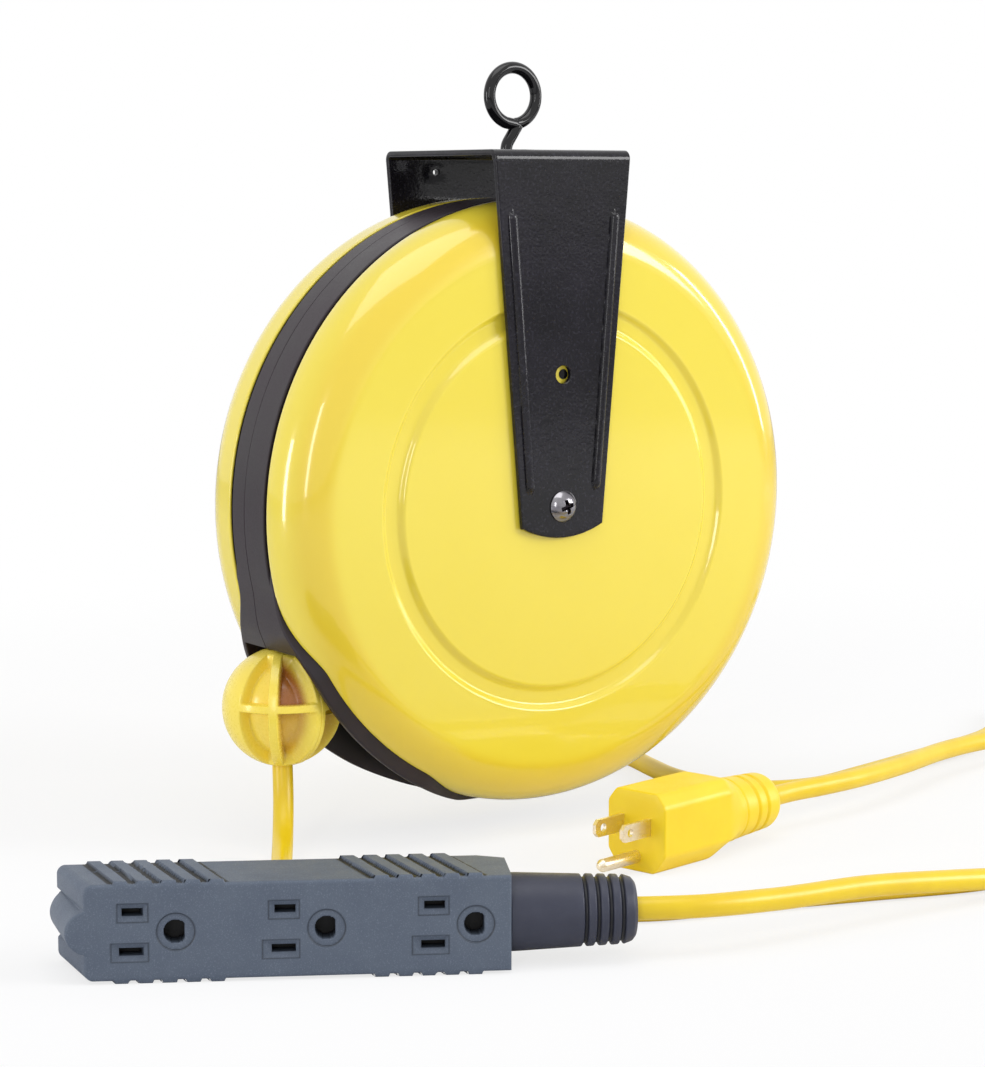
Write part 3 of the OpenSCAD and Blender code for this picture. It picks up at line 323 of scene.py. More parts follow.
def lathe(profile, sides):
    """Turns a profile of (radius, height) pairs about +Z: radius times the cosine and the sine
    of the turn, at the profile's height."""
    profile = np.array(profile, float)
    turn = np.linspace(0, 2 * math.pi, sides + 1)[None, :]
    r, z = profile[:, :1], profile[:, 1:2]
    return np.stack([r * np.cos(turn), r * np.sin(turn), z + 0 * turn], -1)


def soften(profile, radius, steps=4):
    """Rounds the corners of an open profile: each corner becomes a short quadratic curve that
    starts and ends up to radius away from it."""
    p = np.array(profile, float)
    before, at, after = p[:-2], p[1:-1], p[2:]
    into, out = before - at, after - at
    into_l = np.linalg.norm(into, axis=1, keepdims=True)
    out_l = np.linalg.norm(out, axis=1, keepdims=True)
    reach = np.minimum(radius, np.minimum(into_l, out_l) * 0.48)
    a, b = at + into / into_l * reach, at + out / out_l * reach
    t = np.linspace(0, 1, steps + 1)[None, :, None]
    curve = (1 - t) ** 2 * a[:, None] + 2 * t * (1 - t) * at[:, None] + t ** 2 * b[:, None]
    return np.concatenate([p[:1], curve.reshape(-1, 2), p[-1:]])


def smooth_path(route, steps):
    """Smooth line through a route's points: a uniform cubic through each four neighbours."""
    p = np.concatenate([route[:1], route, route[-1:]])
    a, b, c, d = p[:-3, None], p[1:-2, None], p[2:-1, None], p[3:, None]
    t = np.linspace(0, 1, steps, endpoint=False)[None, :, None]
    line = 0.5 * (2 * b + (c - a) * t + (2 * a - 5 * b + 4 * c - d) * t ** 2
                  + (3 * b - a - 3 * c + d) * t ** 3)
    return np.concatenate([line.reshape(-1, 3), route[-1:]])


def carried_frames(path):
    """Two directions across a path that don't twist: the first across direction is turned
    from each step to the next by the smallest turn between the two tangents."""
    ahead = np.gradient(path, axis=0)
    ahead /= np.linalg.norm(ahead, axis=1, keepdims=True)
    side = np.cross(ahead[0], (1.0, 0.3, 0.1) if abs(ahead[0][2]) > 0.8 else (0.0, 0.0, 1.0))
    across = [side / np.linalg.norm(side)]
    for now in ahead[1:]:
        q = across[-1] - (across[-1] @ now) * now
        across.append(q / np.linalg.norm(q))
    across = np.array(across)
    return ahead, across, np.cross(ahead, across)


def tube(path, radius, sides):
    """Tube round a path: centre plus radius times the cosine of the turn along one across
    direction and the sine along the other. Each end runs out in a low cap, whose lead follows
    the sine and whose radius follows the cosine of an angle."""
    ahead, u, v = carried_frames(path)
    cap = np.linspace(math.pi / 2, 0.15, CAP_ROWS)
    lead = ahead * 0.5 * radius
    path = np.concatenate([path[0] - lead[0] * np.sin(cap)[:, None], path,
                           path[-1] + lead[-1] * np.sin(cap)[::-1, None]])
    r = radius * np.concatenate([np.cos(cap), np.ones(len(ahead)), np.cos(cap)[::-1]])
    u, v = (np.pad(across, ((CAP_ROWS, CAP_ROWS), (0, 0)), "edge") for across in (u, v))
    turn = np.linspace(0, 2 * math.pi, sides + 1)[None, :, None]
    round_u, round_v = np.cos(turn) * u[:, None], np.sin(turn) * v[:, None]
    return path[:, None] + r[:, None, None] * (round_u + round_v)


def peg(centre, along, r, low, high, flare=0.0):
    """A round peg between two distances along a direction, wider by flare at its ends. It
    serves as a cutter or as a black disc of painted shade."""
    along = np.array(along, float) / np.linalg.norm(along)
    u = np.cross(along, (0.0, 0.0, 1.0) if abs(along[2]) < 0.9 else (1.0, 0.0, 0.0))
    u /= np.linalg.norm(u)
    v = np.cross(along, u)
    profile = [(0, low), (r + flare, low), (r + flare, low + 0.01), (r, low + flare + 0.02),
               (r, high - flare - 0.02), (r + flare, high - 0.01), (r + flare, high), (0, high)]
    g = lathe(profile, 48)
    grid = np.array(centre, float) + g[..., :1] * u + g[..., 1:2] * v + g[..., 2:] * along
    return make_piece("cutter", [grid])


# ---- Finishes ----

def node_of(tree, kind, inputs=(), **settings):
    """A shader node with its settings and the constants or links of its inputs."""
    made = tree.nodes.new(kind)
    for key, value in settings.items():
        setattr(made, key, value)
    for key, value in dict(inputs).items():
        if isinstance(value, bpy.types.NodeSocket):
            tree.links.new(value, made.inputs[key])
        else:
            made.inputs[key].default_value = value
    return made

def noise(tree, place, scale, detail, rough=0.5):
    """Noise at a place."""
    inputs = {"Vector": place, "Scale": scale, "Detail": detail, "Roughness": rough}
    return node_of(tree, "ShaderNodeTexNoise", inputs).outputs[0]


def remap(tree, value, low, high, to_low=0.0, to_high=1.0, **settings):
    """A value's range from low to high, mapped to another range."""
    inputs = {"Value": value, "From Min": low, "From Max": high,
              "To Min": to_low, "To Max": to_high}
    return node_of(tree, "ShaderNodeMapRange", inputs, **settings).outputs[0]


def stretched(tree, place, scale, rotation=(0.0, 0.0, 0.0)):
    """A place, stretched and turned."""
    inputs = {"Vector": place, "Scale": scale, "Rotation": rotation}
    return node_of(tree, "ShaderNodeMapping", inputs).outputs[0]


def calc(tree, operation, a, b):
    """Sum, product or larger one of two values."""
    return node_of(tree, "ShaderNodeMath", {0: a, 1: b}, operation=operation).outputs[0]


def mix_colour(tree, factor, a, b):
    """Mix of two colours, each a constant or a link."""
    made = node_of(tree, "ShaderNodeMix", data_type="RGBA")
    tree.links.new(factor, made.inputs[0])
    for socket, value in ((made.inputs[6], a), (made.inputs[7], b)):
        if isinstance(value, bpy.types.NodeSocket):
            tree.links.new(value, socket)
        else:
            socket.default_value = value
    return made.outputs[2]


def empty_tree(owner, output):
    """The cleared node tree of a material or world, and its output node."""
    owner.use_nodes = True
    owner.node_tree.nodes.clear()
    return owner.node_tree, node_of(owner.node_tree, output)


def finish(name, base, shade, rough, patches, grain, peel, metallic=0.0, coat=0.0,
           coat_rough=0.08, speckle=None, specular=0.5, stretch=(1, 1, 1), painted_shade_colour=None,
           streaks=0.0, fine_wear=0.0):
    """A procedural finish. Two noises on object coordinates mix the base colour with its shade
    and spread the roughness. Each entry of peel adds one layer of bump as (scale, strength,
    distance in metres). speckle adds fine flecks of a second colour, streaks adds lines of the
    shade, fine_wear adds thin dull marks, and the painted shade colour, where one is given, is
    mixed in as far as a piece's marks say."""
    made = bpy.data.materials.new(name)
    tree, out = empty_tree(made, "ShaderNodeOutputMaterial")
    surface = node_of(tree, "ShaderNodeBsdfPrincipled", {
        "Metallic": metallic, "Coat Weight": coat, "Coat Roughness": coat_rough,
        "Specular IOR Level": specular})
    tree.links.new(surface.outputs[0], out.inputs[0])
    place = stretched(tree, node_of(tree, "ShaderNodeTexCoord").outputs["Object"], stretch)
    broad = noise(tree, place, patches, 3.0, 0.6)
    fine = noise(tree, place, grain, 2.0, 0.7)
    tint = mix_colour(tree, remap(tree, broad, 0.3, 0.7), (*base, 1.0), (*shade, 1.0))
    if speckle:
        code, amount, size = speckle
        flecks = remap(tree, noise(tree, place, size, 1.0), 0.55, 0.72, 0.0, amount)
        tint = mix_colour(tree, flecks, tint, (*linear(code), 1.0))
    if streaks:
        lines = noise(tree, stretched(tree, place, (1, 1, 12)), 240.0, 2.0)
        tint = mix_colour(tree, remap(tree, lines, 0.5, 0.75, 0.0, streaks), tint, (*shade, 1.0))
    # Painted shade: the piece's marks, kept in its recess attribute, mix in a darker colour
    if painted_shade_colour:
        deep = node_of(tree, "ShaderNodeAttribute", attribute_name="recess").outputs["Fac"]
        tint = mix_colour(tree, deep, tint, (*linear(painted_shade_colour), 1.0))
    tree.links.new(tint, surface.inputs["Base Color"])
    dull = remap(tree, calc(tree, "ADD", broad, fine), 0.7, 1.3, *rough)
    if fine_wear:
        marks = noise(tree, stretched(tree, place, (18, 1, 1), (0.3, 0.4, 0.7)), 160.0, 2.0)
        dull = calc(tree, "ADD", dull, remap(tree, marks, 0.66, 0.72, 0.0, fine_wear))
    tree.links.new(dull, surface.inputs["Roughness"])
    inputs = {}
    for scale, strength, distance in peel:
        height = noise(tree, place, scale, 2.0, 0.55)
        inputs.update({"Height": height, "Strength": strength, "Distance": distance})
        inputs["Normal"] = node_of(tree, "ShaderNodeBump", inputs).outputs[0]
    tree.links.new(inputs["Normal"], surface.inputs["Normal"])
    if coat:
        tree.links.new(inputs["Normal"], surface.inputs["Coat Normal"])
    return made


# Each finish has a colour, which is one of the user's or a code, a shade, which is factors on
# that colour or a code, and settings.
# A colour given as painted shade darkens a piece where its marks say: hollows, grooves and the
# covers' edge arc
FINISHES = {
    "cover_enamel": ("cover_yellow", (0.985, 0.975, 0.88), dict(
        rough=(0.17, 0.22), patches=14.0, grain=420.0, coat=0.8, coat_rough=0.03, fine_wear=0.03,
        peel=((150.0, 0.03, 0.0006), (900.0, 0.04, 0.0001)), painted_shade_colour="E8BC10")),
    "yoke_enamel": ("enamel_black", (4.0, 3.8, 5.2), dict(
        rough=(0.08, 0.24), patches=24.0, grain=700.0, coat=0.4, coat_rough=0.04, specular=0.16,
        peel=((240.0, 0.07, 0.0006), (850.0, 0.16, 0.00022)), speckle=("5A5A6A", 0.14, 900.0))),
    "eye_enamel": ("enamel_black", (1.4, 1.4, 1.6), dict(
        rough=(0.06, 0.12), patches=60.0, grain=500.0, coat=0.45, coat_rough=0.02, specular=0.2,
        peel=((90.0, 0.01, 0.0003),))),
    "band_moulding": ("band_charcoal", (1.45, 1.25, 1.45), dict(
        rough=(0.34, 0.5), patches=35.0, grain=1400.0, coat=0.05, coat_rough=0.3, specular=0.35,
        peel=((1500.0, 0.12, 0.0001),), streaks=0.25, painted_shade_colour="050405")),
    "cord_vinyl": ("cord_yellow", (0.93, 0.88, 0.7), dict(
        rough=(0.3, 0.42), patches=50.0, grain=1200.0, coat=0.15, coat_rough=0.25,
        peel=((260.0, 0.12, 0.0004), (1500.0, 0.12, 0.0001)))),
    "ball_moulding": ("ball_yellow", (0.98, 0.92, 0.8), dict(
        rough=(0.22, 0.34), patches=40.0, grain=900.0, coat=0.3, coat_rough=0.15,
        peel=((700.0, 0.08, 0.0002),), painted_shade_colour="A84A2A")),
    "plug_moulding": ("plug_yellow", (0.97, 0.93, 0.8), dict(
        rough=(0.3, 0.44), patches=60.0, grain=1500.0, coat=0.1, coat_rough=0.3,
        peel=((1600.0, 0.25, 0.00012), (300.0, 0.06, 0.0004)))),
    "block_moulding": ("block_slate", (0.86, 0.87, 0.9), dict(
        rough=(0.46, 0.6), patches=70.0, grain=1800.0, specular=0.35, painted_shade_colour="050506",
        peel=((2200.0, 0.5, 0.00012), (700.0, 0.12, 0.0002)), speckle=("8892A4", 0.28, 2400.0))),
    "sleeve_moulding": ("sleeve_slate", (0.75, 0.75, 0.8), dict(
        rough=(0.36, 0.5), patches=80.0, grain=1500.0, specular=0.4, painted_shade_colour="08090B",
        peel=((1900.0, 0.35, 0.00012),))),
    "blade_metal": ("blade_brass", (0.86, 0.8, 0.72), dict(
        rough=(0.22, 0.4), patches=120.0, grain=1600.0, metallic=1.0, stretch=(1, 1, 3),
        peel=((1800.0, 0.1, 0.00006),), fine_wear=0.15)),
    "screw_chrome": ("9B999D", "77747A", dict(
        rough=(0.1, 0.22), patches=150.0, grain=1500.0, metallic=1.0, fine_wear=0.1,
        peel=((900.0, 0.08, 0.0001),), painted_shade_colour="2A262A")),
    "zinc_steel": ("A9ADB2", "8B8F97", dict(
        rough=(0.3, 0.5), patches=90.0, grain=800.0, metallic=1.0, fine_wear=0.12,
        peel=((1200.0, 0.15, 0.0001),))),
    "plain_steel": ("8F9298", "74777E", dict(
        rough=(0.28, 0.45), patches=70.0, grain=900.0, metallic=1.0, stretch=(1, 1, 8),
        peel=((600.0, 0.12, 0.0001),), fine_wear=0.15)),
    "spring_steel": ("6B727E", "545C6C", dict(
        rough=(0.25, 0.38), patches=60.0, grain=1000.0, metallic=1.0, stretch=(1, 8, 1),
        peel=((800.0, 0.1, 0.0001),), fine_wear=0.1)),
    "black_plastic": ("232325", "17171A", dict(
        rough=(0.4, 0.55), patches=80.0, grain=1200.0, peel=((1500.0, 0.25, 0.0001),),
        streaks=0.2)),
    "pale_plastic": ("E2E1DA", "D2CFC4", dict(
        rough=(0.35, 0.5), patches=40.0, grain=900.0, peel=((900.0, 0.15, 0.0002),),
        streaks=0.2)),
    "contact_brass": ("C99F45", "A97F34", dict(
        rough=(0.25, 0.45), patches=110.0, grain=1300.0, metallic=1.0,
        peel=((1500.0, 0.12, 0.0001),), fine_wear=0.2)),
    "lead_cover": ("5C8C52", "3E6B3A", dict(
        rough=(0.35, 0.5), patches=120.0, grain=1400.0, peel=((1200.0, 0.15, 0.0001),),
        speckle=("88B07A", 0.3, 1200.0))),
    "black_rubber": ("1B1B1D", "111113", dict(
        rough=(0.45, 0.62), patches=90.0, grain=1500.0, peel=((1700.0, 0.35, 0.00012),),
        streaks=0.15)),
}


def look(name):
    """The material of a finish, made when it is first asked for."""
    base, shade, settings = FINISHES[name]
    if base in ReelColours.__annotations__:
        base = tuple(getattr(colours(), base))
        shade = tuple(c * factor for c, factor in zip(base, shade))
    else:
        base, shade = linear(base), linear(shade)
    return bpy.data.materials.get(name) or finish(name, base, shade, **settings)


def wear(made, material):
    """Gives a mesh one material."""
    made.data.materials.clear()
    made.data.materials.append(material)


def settle(made, name, node, body="housing"):
    """Gives a piece its finish and the body it moves with, and hides the node that it stands
    for."""
    wear(made, look(name))
    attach(made, body)
    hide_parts(node)


# ---- Shapes of the housing ----

def mouth_half(s):
    """Half width of the mouth at a distance s along the rim: half the band, widened by an ease
    that rises over 30 mm from one end and falls over 36 mm to the other."""
    half = MOUTH_LEN / 2
    return BAND_HALF + (MOUTH_W / 2 - BAND_HALF) * ease((half + s) / 30) * ease((half - s) / 36)


def round_angles(step):
    """Angles once round the rim, 2 degrees apart, and step apart along the mouth. The hood's
    edge has a pair of angles of its own."""
    fine = np.arange(188.0, 266.0, step)
    fine = fine[np.abs(fine - HOOD_EDGE) > 0.04]
    fine = np.sort(np.concatenate([fine, [HOOD_EDGE - 0.03, HOOD_EDGE + 0.03]]))
    return np.concatenate([fine, np.arange(266.0, 548.0, 2.0), [548.0]])


def near_mouth(a):
    """Whether an angle lies on the mouth's side of the rim."""
    return np.abs((a - MOUTH_DIR + 180) % 360 - 180) < 60


def cover_surface(side):
    """Pressed cover. The profile runs from the axle over the eased ring groove, round the edge
    arc and down the side to the band, where it turns in through its rim and comes back one
    sheet inside. It is turned about the axle, and the side's length changes with the angle,
    because the mouth's outline cuts it short. The second result is the share of painted
    shade, a deeper gold in an eased band over the edge arc."""
    a = round_angles(0.5)
    s = 115.0 * np.sin(np.radians(a - MOUTH_DIR))
    inside = (np.abs(s) < MOUTH_LEN / 2) & near_mouth(a)
    edge = side * BAND_MID_F + np.where(inside, mouth_half(s) + 0.3, BAND_HALF)
    low = FACE_F - EDGE_R
    arc_l = EDGE_R * math.pi / 2
    on_arc = EDGE_R * np.arcsin(np.clip((edge - low) / EDGE_R, 0, 1))
    reach = arc_l - on_arc + np.clip(low - edge, 0, None) - 0.5
    r_face = np.concatenate([np.linspace(COVER_BORE_R, 64, 14), np.linspace(65, 82.4, 60),
                             np.linspace(83.5, 97.6, 8)])
    depth = sizes().groove_depth / MM
    ramp = (np.abs(r_face - GROOVE_R) - GROOVE_HALF) / GROOVE_RAMP
    f_face = FACE_F - depth * (1 - ease(ramp))
    walk = np.linspace(0, 1, 30)[:, None] * reach[None, :]
    phi = np.clip(math.pi / 2 - walk / EDGE_R, 0, None)
    n_r, n_f = np.cos(phi), np.sin(phi)
    r_side = HOUSING_R - EDGE_R + EDGE_R * n_r
    f_side = np.where(walk < arc_l, low + EDGE_R * n_f, low - (walk - arc_l))
    psi = np.linspace(0, math.pi, 7)[1:-1, None]
    half = COVER_WALL / 2
    rim_r = r_side[-1] + half * (np.cos(psi) * n_r[-1] + np.sin(psi) * n_f[-1] - n_r[-1])
    rim_f = f_side[-1] + half * (np.cos(psi) * n_f[-1] - np.sin(psi) * n_r[-1] - n_f[-1])
    wide = np.ones((1, len(a)))

    def outline(face, face_wall, out, rim, normal):
        """One coordinate of the whole profile, outside then inside, closed at the bore."""
        return np.concatenate([face[:, None] * wide, out, rim, (out - COVER_WALL * normal)[::-1],
                               (face - face_wall)[::-2, None] * wide, face[:1, None] * wide])

    r = outline(r_face, 0.0, r_side, rim_r, n_r)
    f = outline(f_face, COVER_WALL, f_side, rim_f, n_f)
    t = np.radians(a)[None, :]
    # Painted shade over the edge arc: where it lies, the material mixes in a deeper gold
    painted_edge_shade = ease((r - 96.0) / 7.0) * ease((HOUSING_R + 0.6 - r) / 8.0) * (f > 0)
    return from_axle(np.stack([r * np.cos(t), r * np.sin(t), side * f], -1)), painted_edge_shade


def band_surface(side):
    """Half of the rim band and the mouth, as a height over the rim. Height is a function of the
    angle and of the distance from the outline: rounded band, channel and tongue, eased into
    lips along the mouth, with the trough between the lips and the ball's seat in the trough.
    A second sheet below it closes the wall. The second result is the share of painted shade,
    deep in the trough under the lips and in the channel beside the cover."""
    a = round_angles(0.25)
    t = np.radians(a)
    s = HOUSING_R * np.sin(t - math.radians(MOUTH_DIR))
    near = near_mouth(a)
    half = np.where(near & (np.abs(s) < MOUTH_LEN / 2), mouth_half(s), BAND_HALF)
    edge = (side * BAND_MID_F + half)[None, :]
    close = [-TONGUE_L, -2.0, -1.0, -0.06, 0.0, 0.1, 0.25, 0.5, 0.8, 1.2, 1.7, 2.15, 2.22, 2.35,
             2.55, 2.75, 2.9, 2.97, 3.03, 3.3, 3.8, 4.4]
    share = np.linspace(0, 1, 34)[1:, None]
    d = np.concatenate([np.array(close)[:, None] + 0 * edge,
                        close[-1] + share * (edge - 0.45 - close[-1]),
                        edge - np.array([0.3, 0.15, 0.0])[:, None]])
    grown = (ease((a - 187.5) / 5) * ease((266.5 - a) / 5) * near)[None, :]
    plain = np.where(d < CHANNEL_W, TONGUE_R, HOUSING_R - round_edge(d - CHANNEL_W, 0.55))
    lips = ease((a - MOUTH_FROM) / 9) * ease((MOUTH_TO - a) / 9) * near
    top = (HOUSING_R + sizes().lip_rise / MM * lips)[None, :]
    lip = top - round_edge(d, 0.9)
    under = TONGUE_R - 9.0 * ease((half - BAND_HALF) / 3)[None, :]
    r = np.where(d < 0, under, plain * (1 - grown) + lip * grown)
    in_trough = ((a > HOOD_EDGE) & (a < TROUGH_TO) & near)[None, :]
    ramp = np.clip((a - HOOD_EDGE - 15) / (TROUGH_TO - HOOD_EDGE - 15), 0, 1)
    floor = (TROUGH_R + (HOUSING_R + 1 - TROUGH_R) * ramp ** 1.4)[None, :]
    inner_round = top - round_edge(LIP_W - d, 0.8)
    r = np.where(in_trough & (d <= LIP_W) & (d > 1.5), np.minimum(r, inner_round), r)
    r = np.where(in_trough & (d > LIP_W), np.minimum(r, floor), r)
    place = edge - d
    c = math.hypot(BALL_AT[0], BALL_AT[1])
    off = t[None, :] - math.atan2(BALL_AT[1], BALL_AT[0])
    room = (BALL_R + 0.3) ** 2 - (c * np.sin(off)) ** 2 - (side * place - BALL_AT[2]) ** 2
    seat = c * np.cos(off) - np.sqrt(np.clip(room, 0, None))
    r = np.where((room > 0) & near[None, :] & (d > 0), np.minimum(r, seat), r)
    r = r - 0.4 * np.clip(1 - place / 0.3, 0, 1) * (d > 1)
    inner = ease((a - 189.5) / 6) * ease((264.5 - a) / 6) * near
    low_r = (BAND_IN_R - (BAND_IN_R - MOUTH_IN_R) * inner)[None, :]
    # Painted shade: darker deep in the trough and in the channel beside the cover
    deep = (in_trough * ease((top - r - 0.4) / 1.4) * (d > LIP_W)
            + (1 - grown) * ((d < CHANNEL_W - 0.02) & (d > 0)) * 0.8)
    r = np.concatenate([r, np.repeat(low_r, 3, 0), r[:1]])
    place = np.concatenate([place, place[-1:], place[[len(close)]], place[:1], place[:1]])
    marks = np.concatenate([deep, np.zeros((4, len(a)))])
    return from_axle(np.stack([r * np.cos(t), r * np.sin(t), side * place], -1)), marks


# ---- Shapes of the yoke and the eye bolt ----

def yoke_half_width(y):
    """Half width of the strip at a height above the axle: a straight taper."""
    share = (y + ARM_CORNER_DROP) / (YOKE_RISE + ARM_CORNER_DROP)
    return YOKE_HALF_END + (YOKE_HALF_TOP - YOKE_HALF_END) * np.clip(share, 0, 1)


def yoke_surface():
    """Bent strip. It runs up the front arm, over the top plate and down the rear arm; each
    section across it is a thin loop with rounded edges. The outside rises over the beads by
    a half round of the distance to each bead's line, and the arms end on an arc."""
    end_sag = YOKE_TAIL - ARM_CORNER_DROP
    end_r = (YOKE_HALF_END ** 2 + end_sag ** 2) / (2 * end_sag)
    u_face = np.concatenate([np.linspace(0, 0.6, 9)[:-1], np.linspace(0.6, 0.95, 56),
                             np.linspace(0.965, 1.0, 4)])
    u_face = np.concatenate([-u_face[::-1][:-1], u_face])
    bend = YOKE_RISE - BEND_R
    climb = np.concatenate([[0, 0, 0.001], np.linspace(0.004, 0.2, 24),
                            np.linspace(0.205, 0.8, 60)[1:], np.linspace(0.805, 0.88, 16),
                            np.linspace(0.9, 1.0, 10)])
    thick = np.concatenate([[0.0, 0.62, 0.88, 1.0], np.ones(len(climb) - 4)])
    arc = np.radians(np.linspace(0, 90, 12)[1:-1])
    plate = np.linspace(1, -1, 40)
    n_arm, n_arc, n_plate = len(climb), len(arc), len(plate)
    between = np.ones(2 * n_arc + n_plate)
    # 0 and 4 are the arms, 1 and 3 the bends and 2 the plate
    kind = np.repeat(np.arange(5), (n_arm, n_arc, n_plate, n_arc, n_arm))
    climb = np.concatenate([climb, between, climb[::-1]])[:, None]
    thick = np.concatenate([thick, between, thick[::-1]])[:, None]
    turn = np.concatenate([np.zeros(n_arm), arc, np.full(n_plate, math.pi / 2), arc[::-1],
                           np.zeros(n_arm)])
    flip = np.where(kind < 3, 1.0, -1.0)
    half_t = SHEET / 2
    mid_r = BEND_R - half_t
    f_mid = flip * (ARM_OUT_F - BEND_R + mid_r * np.cos(turn))
    f_mid[kind == 2] = plate * (ARM_OUT_F - BEND_R)

    # One loop across: the outside from left to right, then the inside from right to left
    psi = np.linspace(0, math.pi / 2, 5)[1:]
    out, level = np.sin(psi), 1 - YOKE_EDGE_R / half_t * (1 - np.cos(psi))
    flat, none = np.ones(len(u_face)), np.zeros(len(u_face))
    loop_u = np.concatenate([u_face, np.ones(8), u_face[::-1], -np.ones(8)])
    loop_n = np.concatenate([flat, level, -level[::-1], -flat, -level, level[::-1]])
    loop_x = np.concatenate([none, out, out[::-1], none, -out, -out[::-1]]) * YOKE_EDGE_R
    x0 = loop_u[None, :] * (YOKE_HALF_END - YOKE_EDGE_R)
    foot = end_r - YOKE_TAIL - np.sqrt(end_r ** 2 - x0 ** 2)
    y_mid = (bend + mid_r * np.sin(turn))[:, None]
    on_arm = ((kind == 0) | (kind == 4))[:, None]
    y = np.where(on_arm, foot + (bend - foot) * climb, y_mid)
    x = loop_u[None, :] * (yoke_half_width(y) - YOKE_EDGE_R) + loop_x[None, :]
    (ax, ay), (dx, dy) = BEAD_FOOT, np.subtract(BEAD_TOP, BEAD_FOOT)
    share = ((np.abs(x) - ax) * dx + (y - ay) * dy) / (dx ** 2 + dy ** 2)
    share = np.clip(share, 0, 1)
    away = np.hypot(np.abs(x) - ax - share * dx, y - ay - share * dy)
    rise = sizes().bead_rise / MM * (1 - quarter(away / BEAD_HALF)) * on_arm
    ring = np.hypot(x - STAMP_AT[0], y - STAMP_AT[1])
    collar = 0.35 * ease(1 - np.abs(ring - 2.6) / 0.9) * (kind == 4)[:, None]
    off = half_t * loop_n * thick + rise * (loop_n > 0.99)
    off = off + collar * np.sign(loop_n) * (np.abs(loop_n) > 0.99)
    f = f_mid[:, None] + off * (flip * np.cos(turn))[:, None]
    y = y + off * np.sin(turn)[:, None]
    grid = np.stack([x, y, f], -1)
    return from_axle(np.concatenate([grid, grid[:, :1]], 1))


def eye_bolt_surface():
    """Rod bent into an eye: a tube round an open ring that runs on into the shank, and below
    the yoke a thread, whose radius follows a sawtooth of the turn and the height."""
    angle = np.radians(np.arange(-83.0, 255.0, 6.0))
    ring = EYE_RING_R * np.stack([np.cos(angle), 0 * angle, np.sin(angle)], -1)
    shank = np.array([(1.7, 0, -11.3), (1.1, 0, -12.7), (-0.9, 0, -15.7), (-2.5, 0, -18.2),
                      (-3, 0, -20.2), (-3, 0, -21.6)], float)
    body = tube(smooth_path(np.concatenate([ring, shank]), 3), EYE_ROD_R, 28)
    z = np.linspace(-21.0, -30.8, 150)[:, None]
    turn = np.linspace(0, 2 * math.pi, 33)[None, :]
    phase = (turn / (2 * math.pi) + z / THREAD_PITCH) % 1.0
    r = 2.22 - 0.4 * np.abs(2 * phase - 1)
    r = r * np.clip((z + 30.85) / 0.5, 0, 1) ** 0.5
    thread = np.stack([-3 + r * np.cos(turn), r * np.sin(turn), z + 0 * turn], -1)
    cap = thread[:1] * np.array([0, 0, 1.0]) + np.array([-3.0, 0, 0])
    return body, np.concatenate([cap, thread])


def screw_surface():
    """Pan head screw about +Z, head above 0: part of a ball, whose height is the root of the
    ball's radius squared less the distance from the axis squared, less a cross recess, with the
    rim, underside and shank below it. The second result is the share of painted shade in the
    cross recess."""
    rho = np.concatenate([np.linspace(0, 3.7, 44), np.linspace(3.8, 5.9, 14)])[:, None]
    turn = np.linspace(0, 2 * math.pi, 145)[None, :]
    dome_h = HEAD_H - HEAD_RIM
    dome_r = (HEAD_R ** 2 + dome_h ** 2) / (2 * dome_h)
    x, y = rho * np.cos(turn), rho * np.sin(turn)
    near, far = np.minimum(np.abs(x), np.abs(y)), np.maximum(np.abs(x), np.abs(y))
    slot = ease((0.85 - near) / 0.3) * ease((2.9 - far) / 0.4)
    well = ease((1.9 - rho) / 0.9)
    dip = 1.1 * slot + 0.8 * np.minimum(well, slot + 0.4 * well)
    z = HEAD_H - dome_r + np.sqrt(dome_r ** 2 - rho ** 2) - dip
    rest = lathe([(6.0, HEAD_RIM), (6.05, 0.25), (5.95, 0.05), (5.8, 0.0), (2.5, 0.0),
                  (2.5, -13.0), (0, -13.0)], 144)
    grid = np.concatenate([np.stack([x, y, z], -1), rest])
    # The marks are painted shade in the cross recess
    return grid, np.concatenate([ease(dip / 1.2), np.zeros(rest.shape[:2])])


# ---- Shapes of the ball stop ----

BALL_RIBS = (-90, -40, 0, 40, 90)
RIB_HALF, BELT_HALF = 2.0, 1.7
POLE_FROM = 20.2
SIDE_DEPTH = 0.7


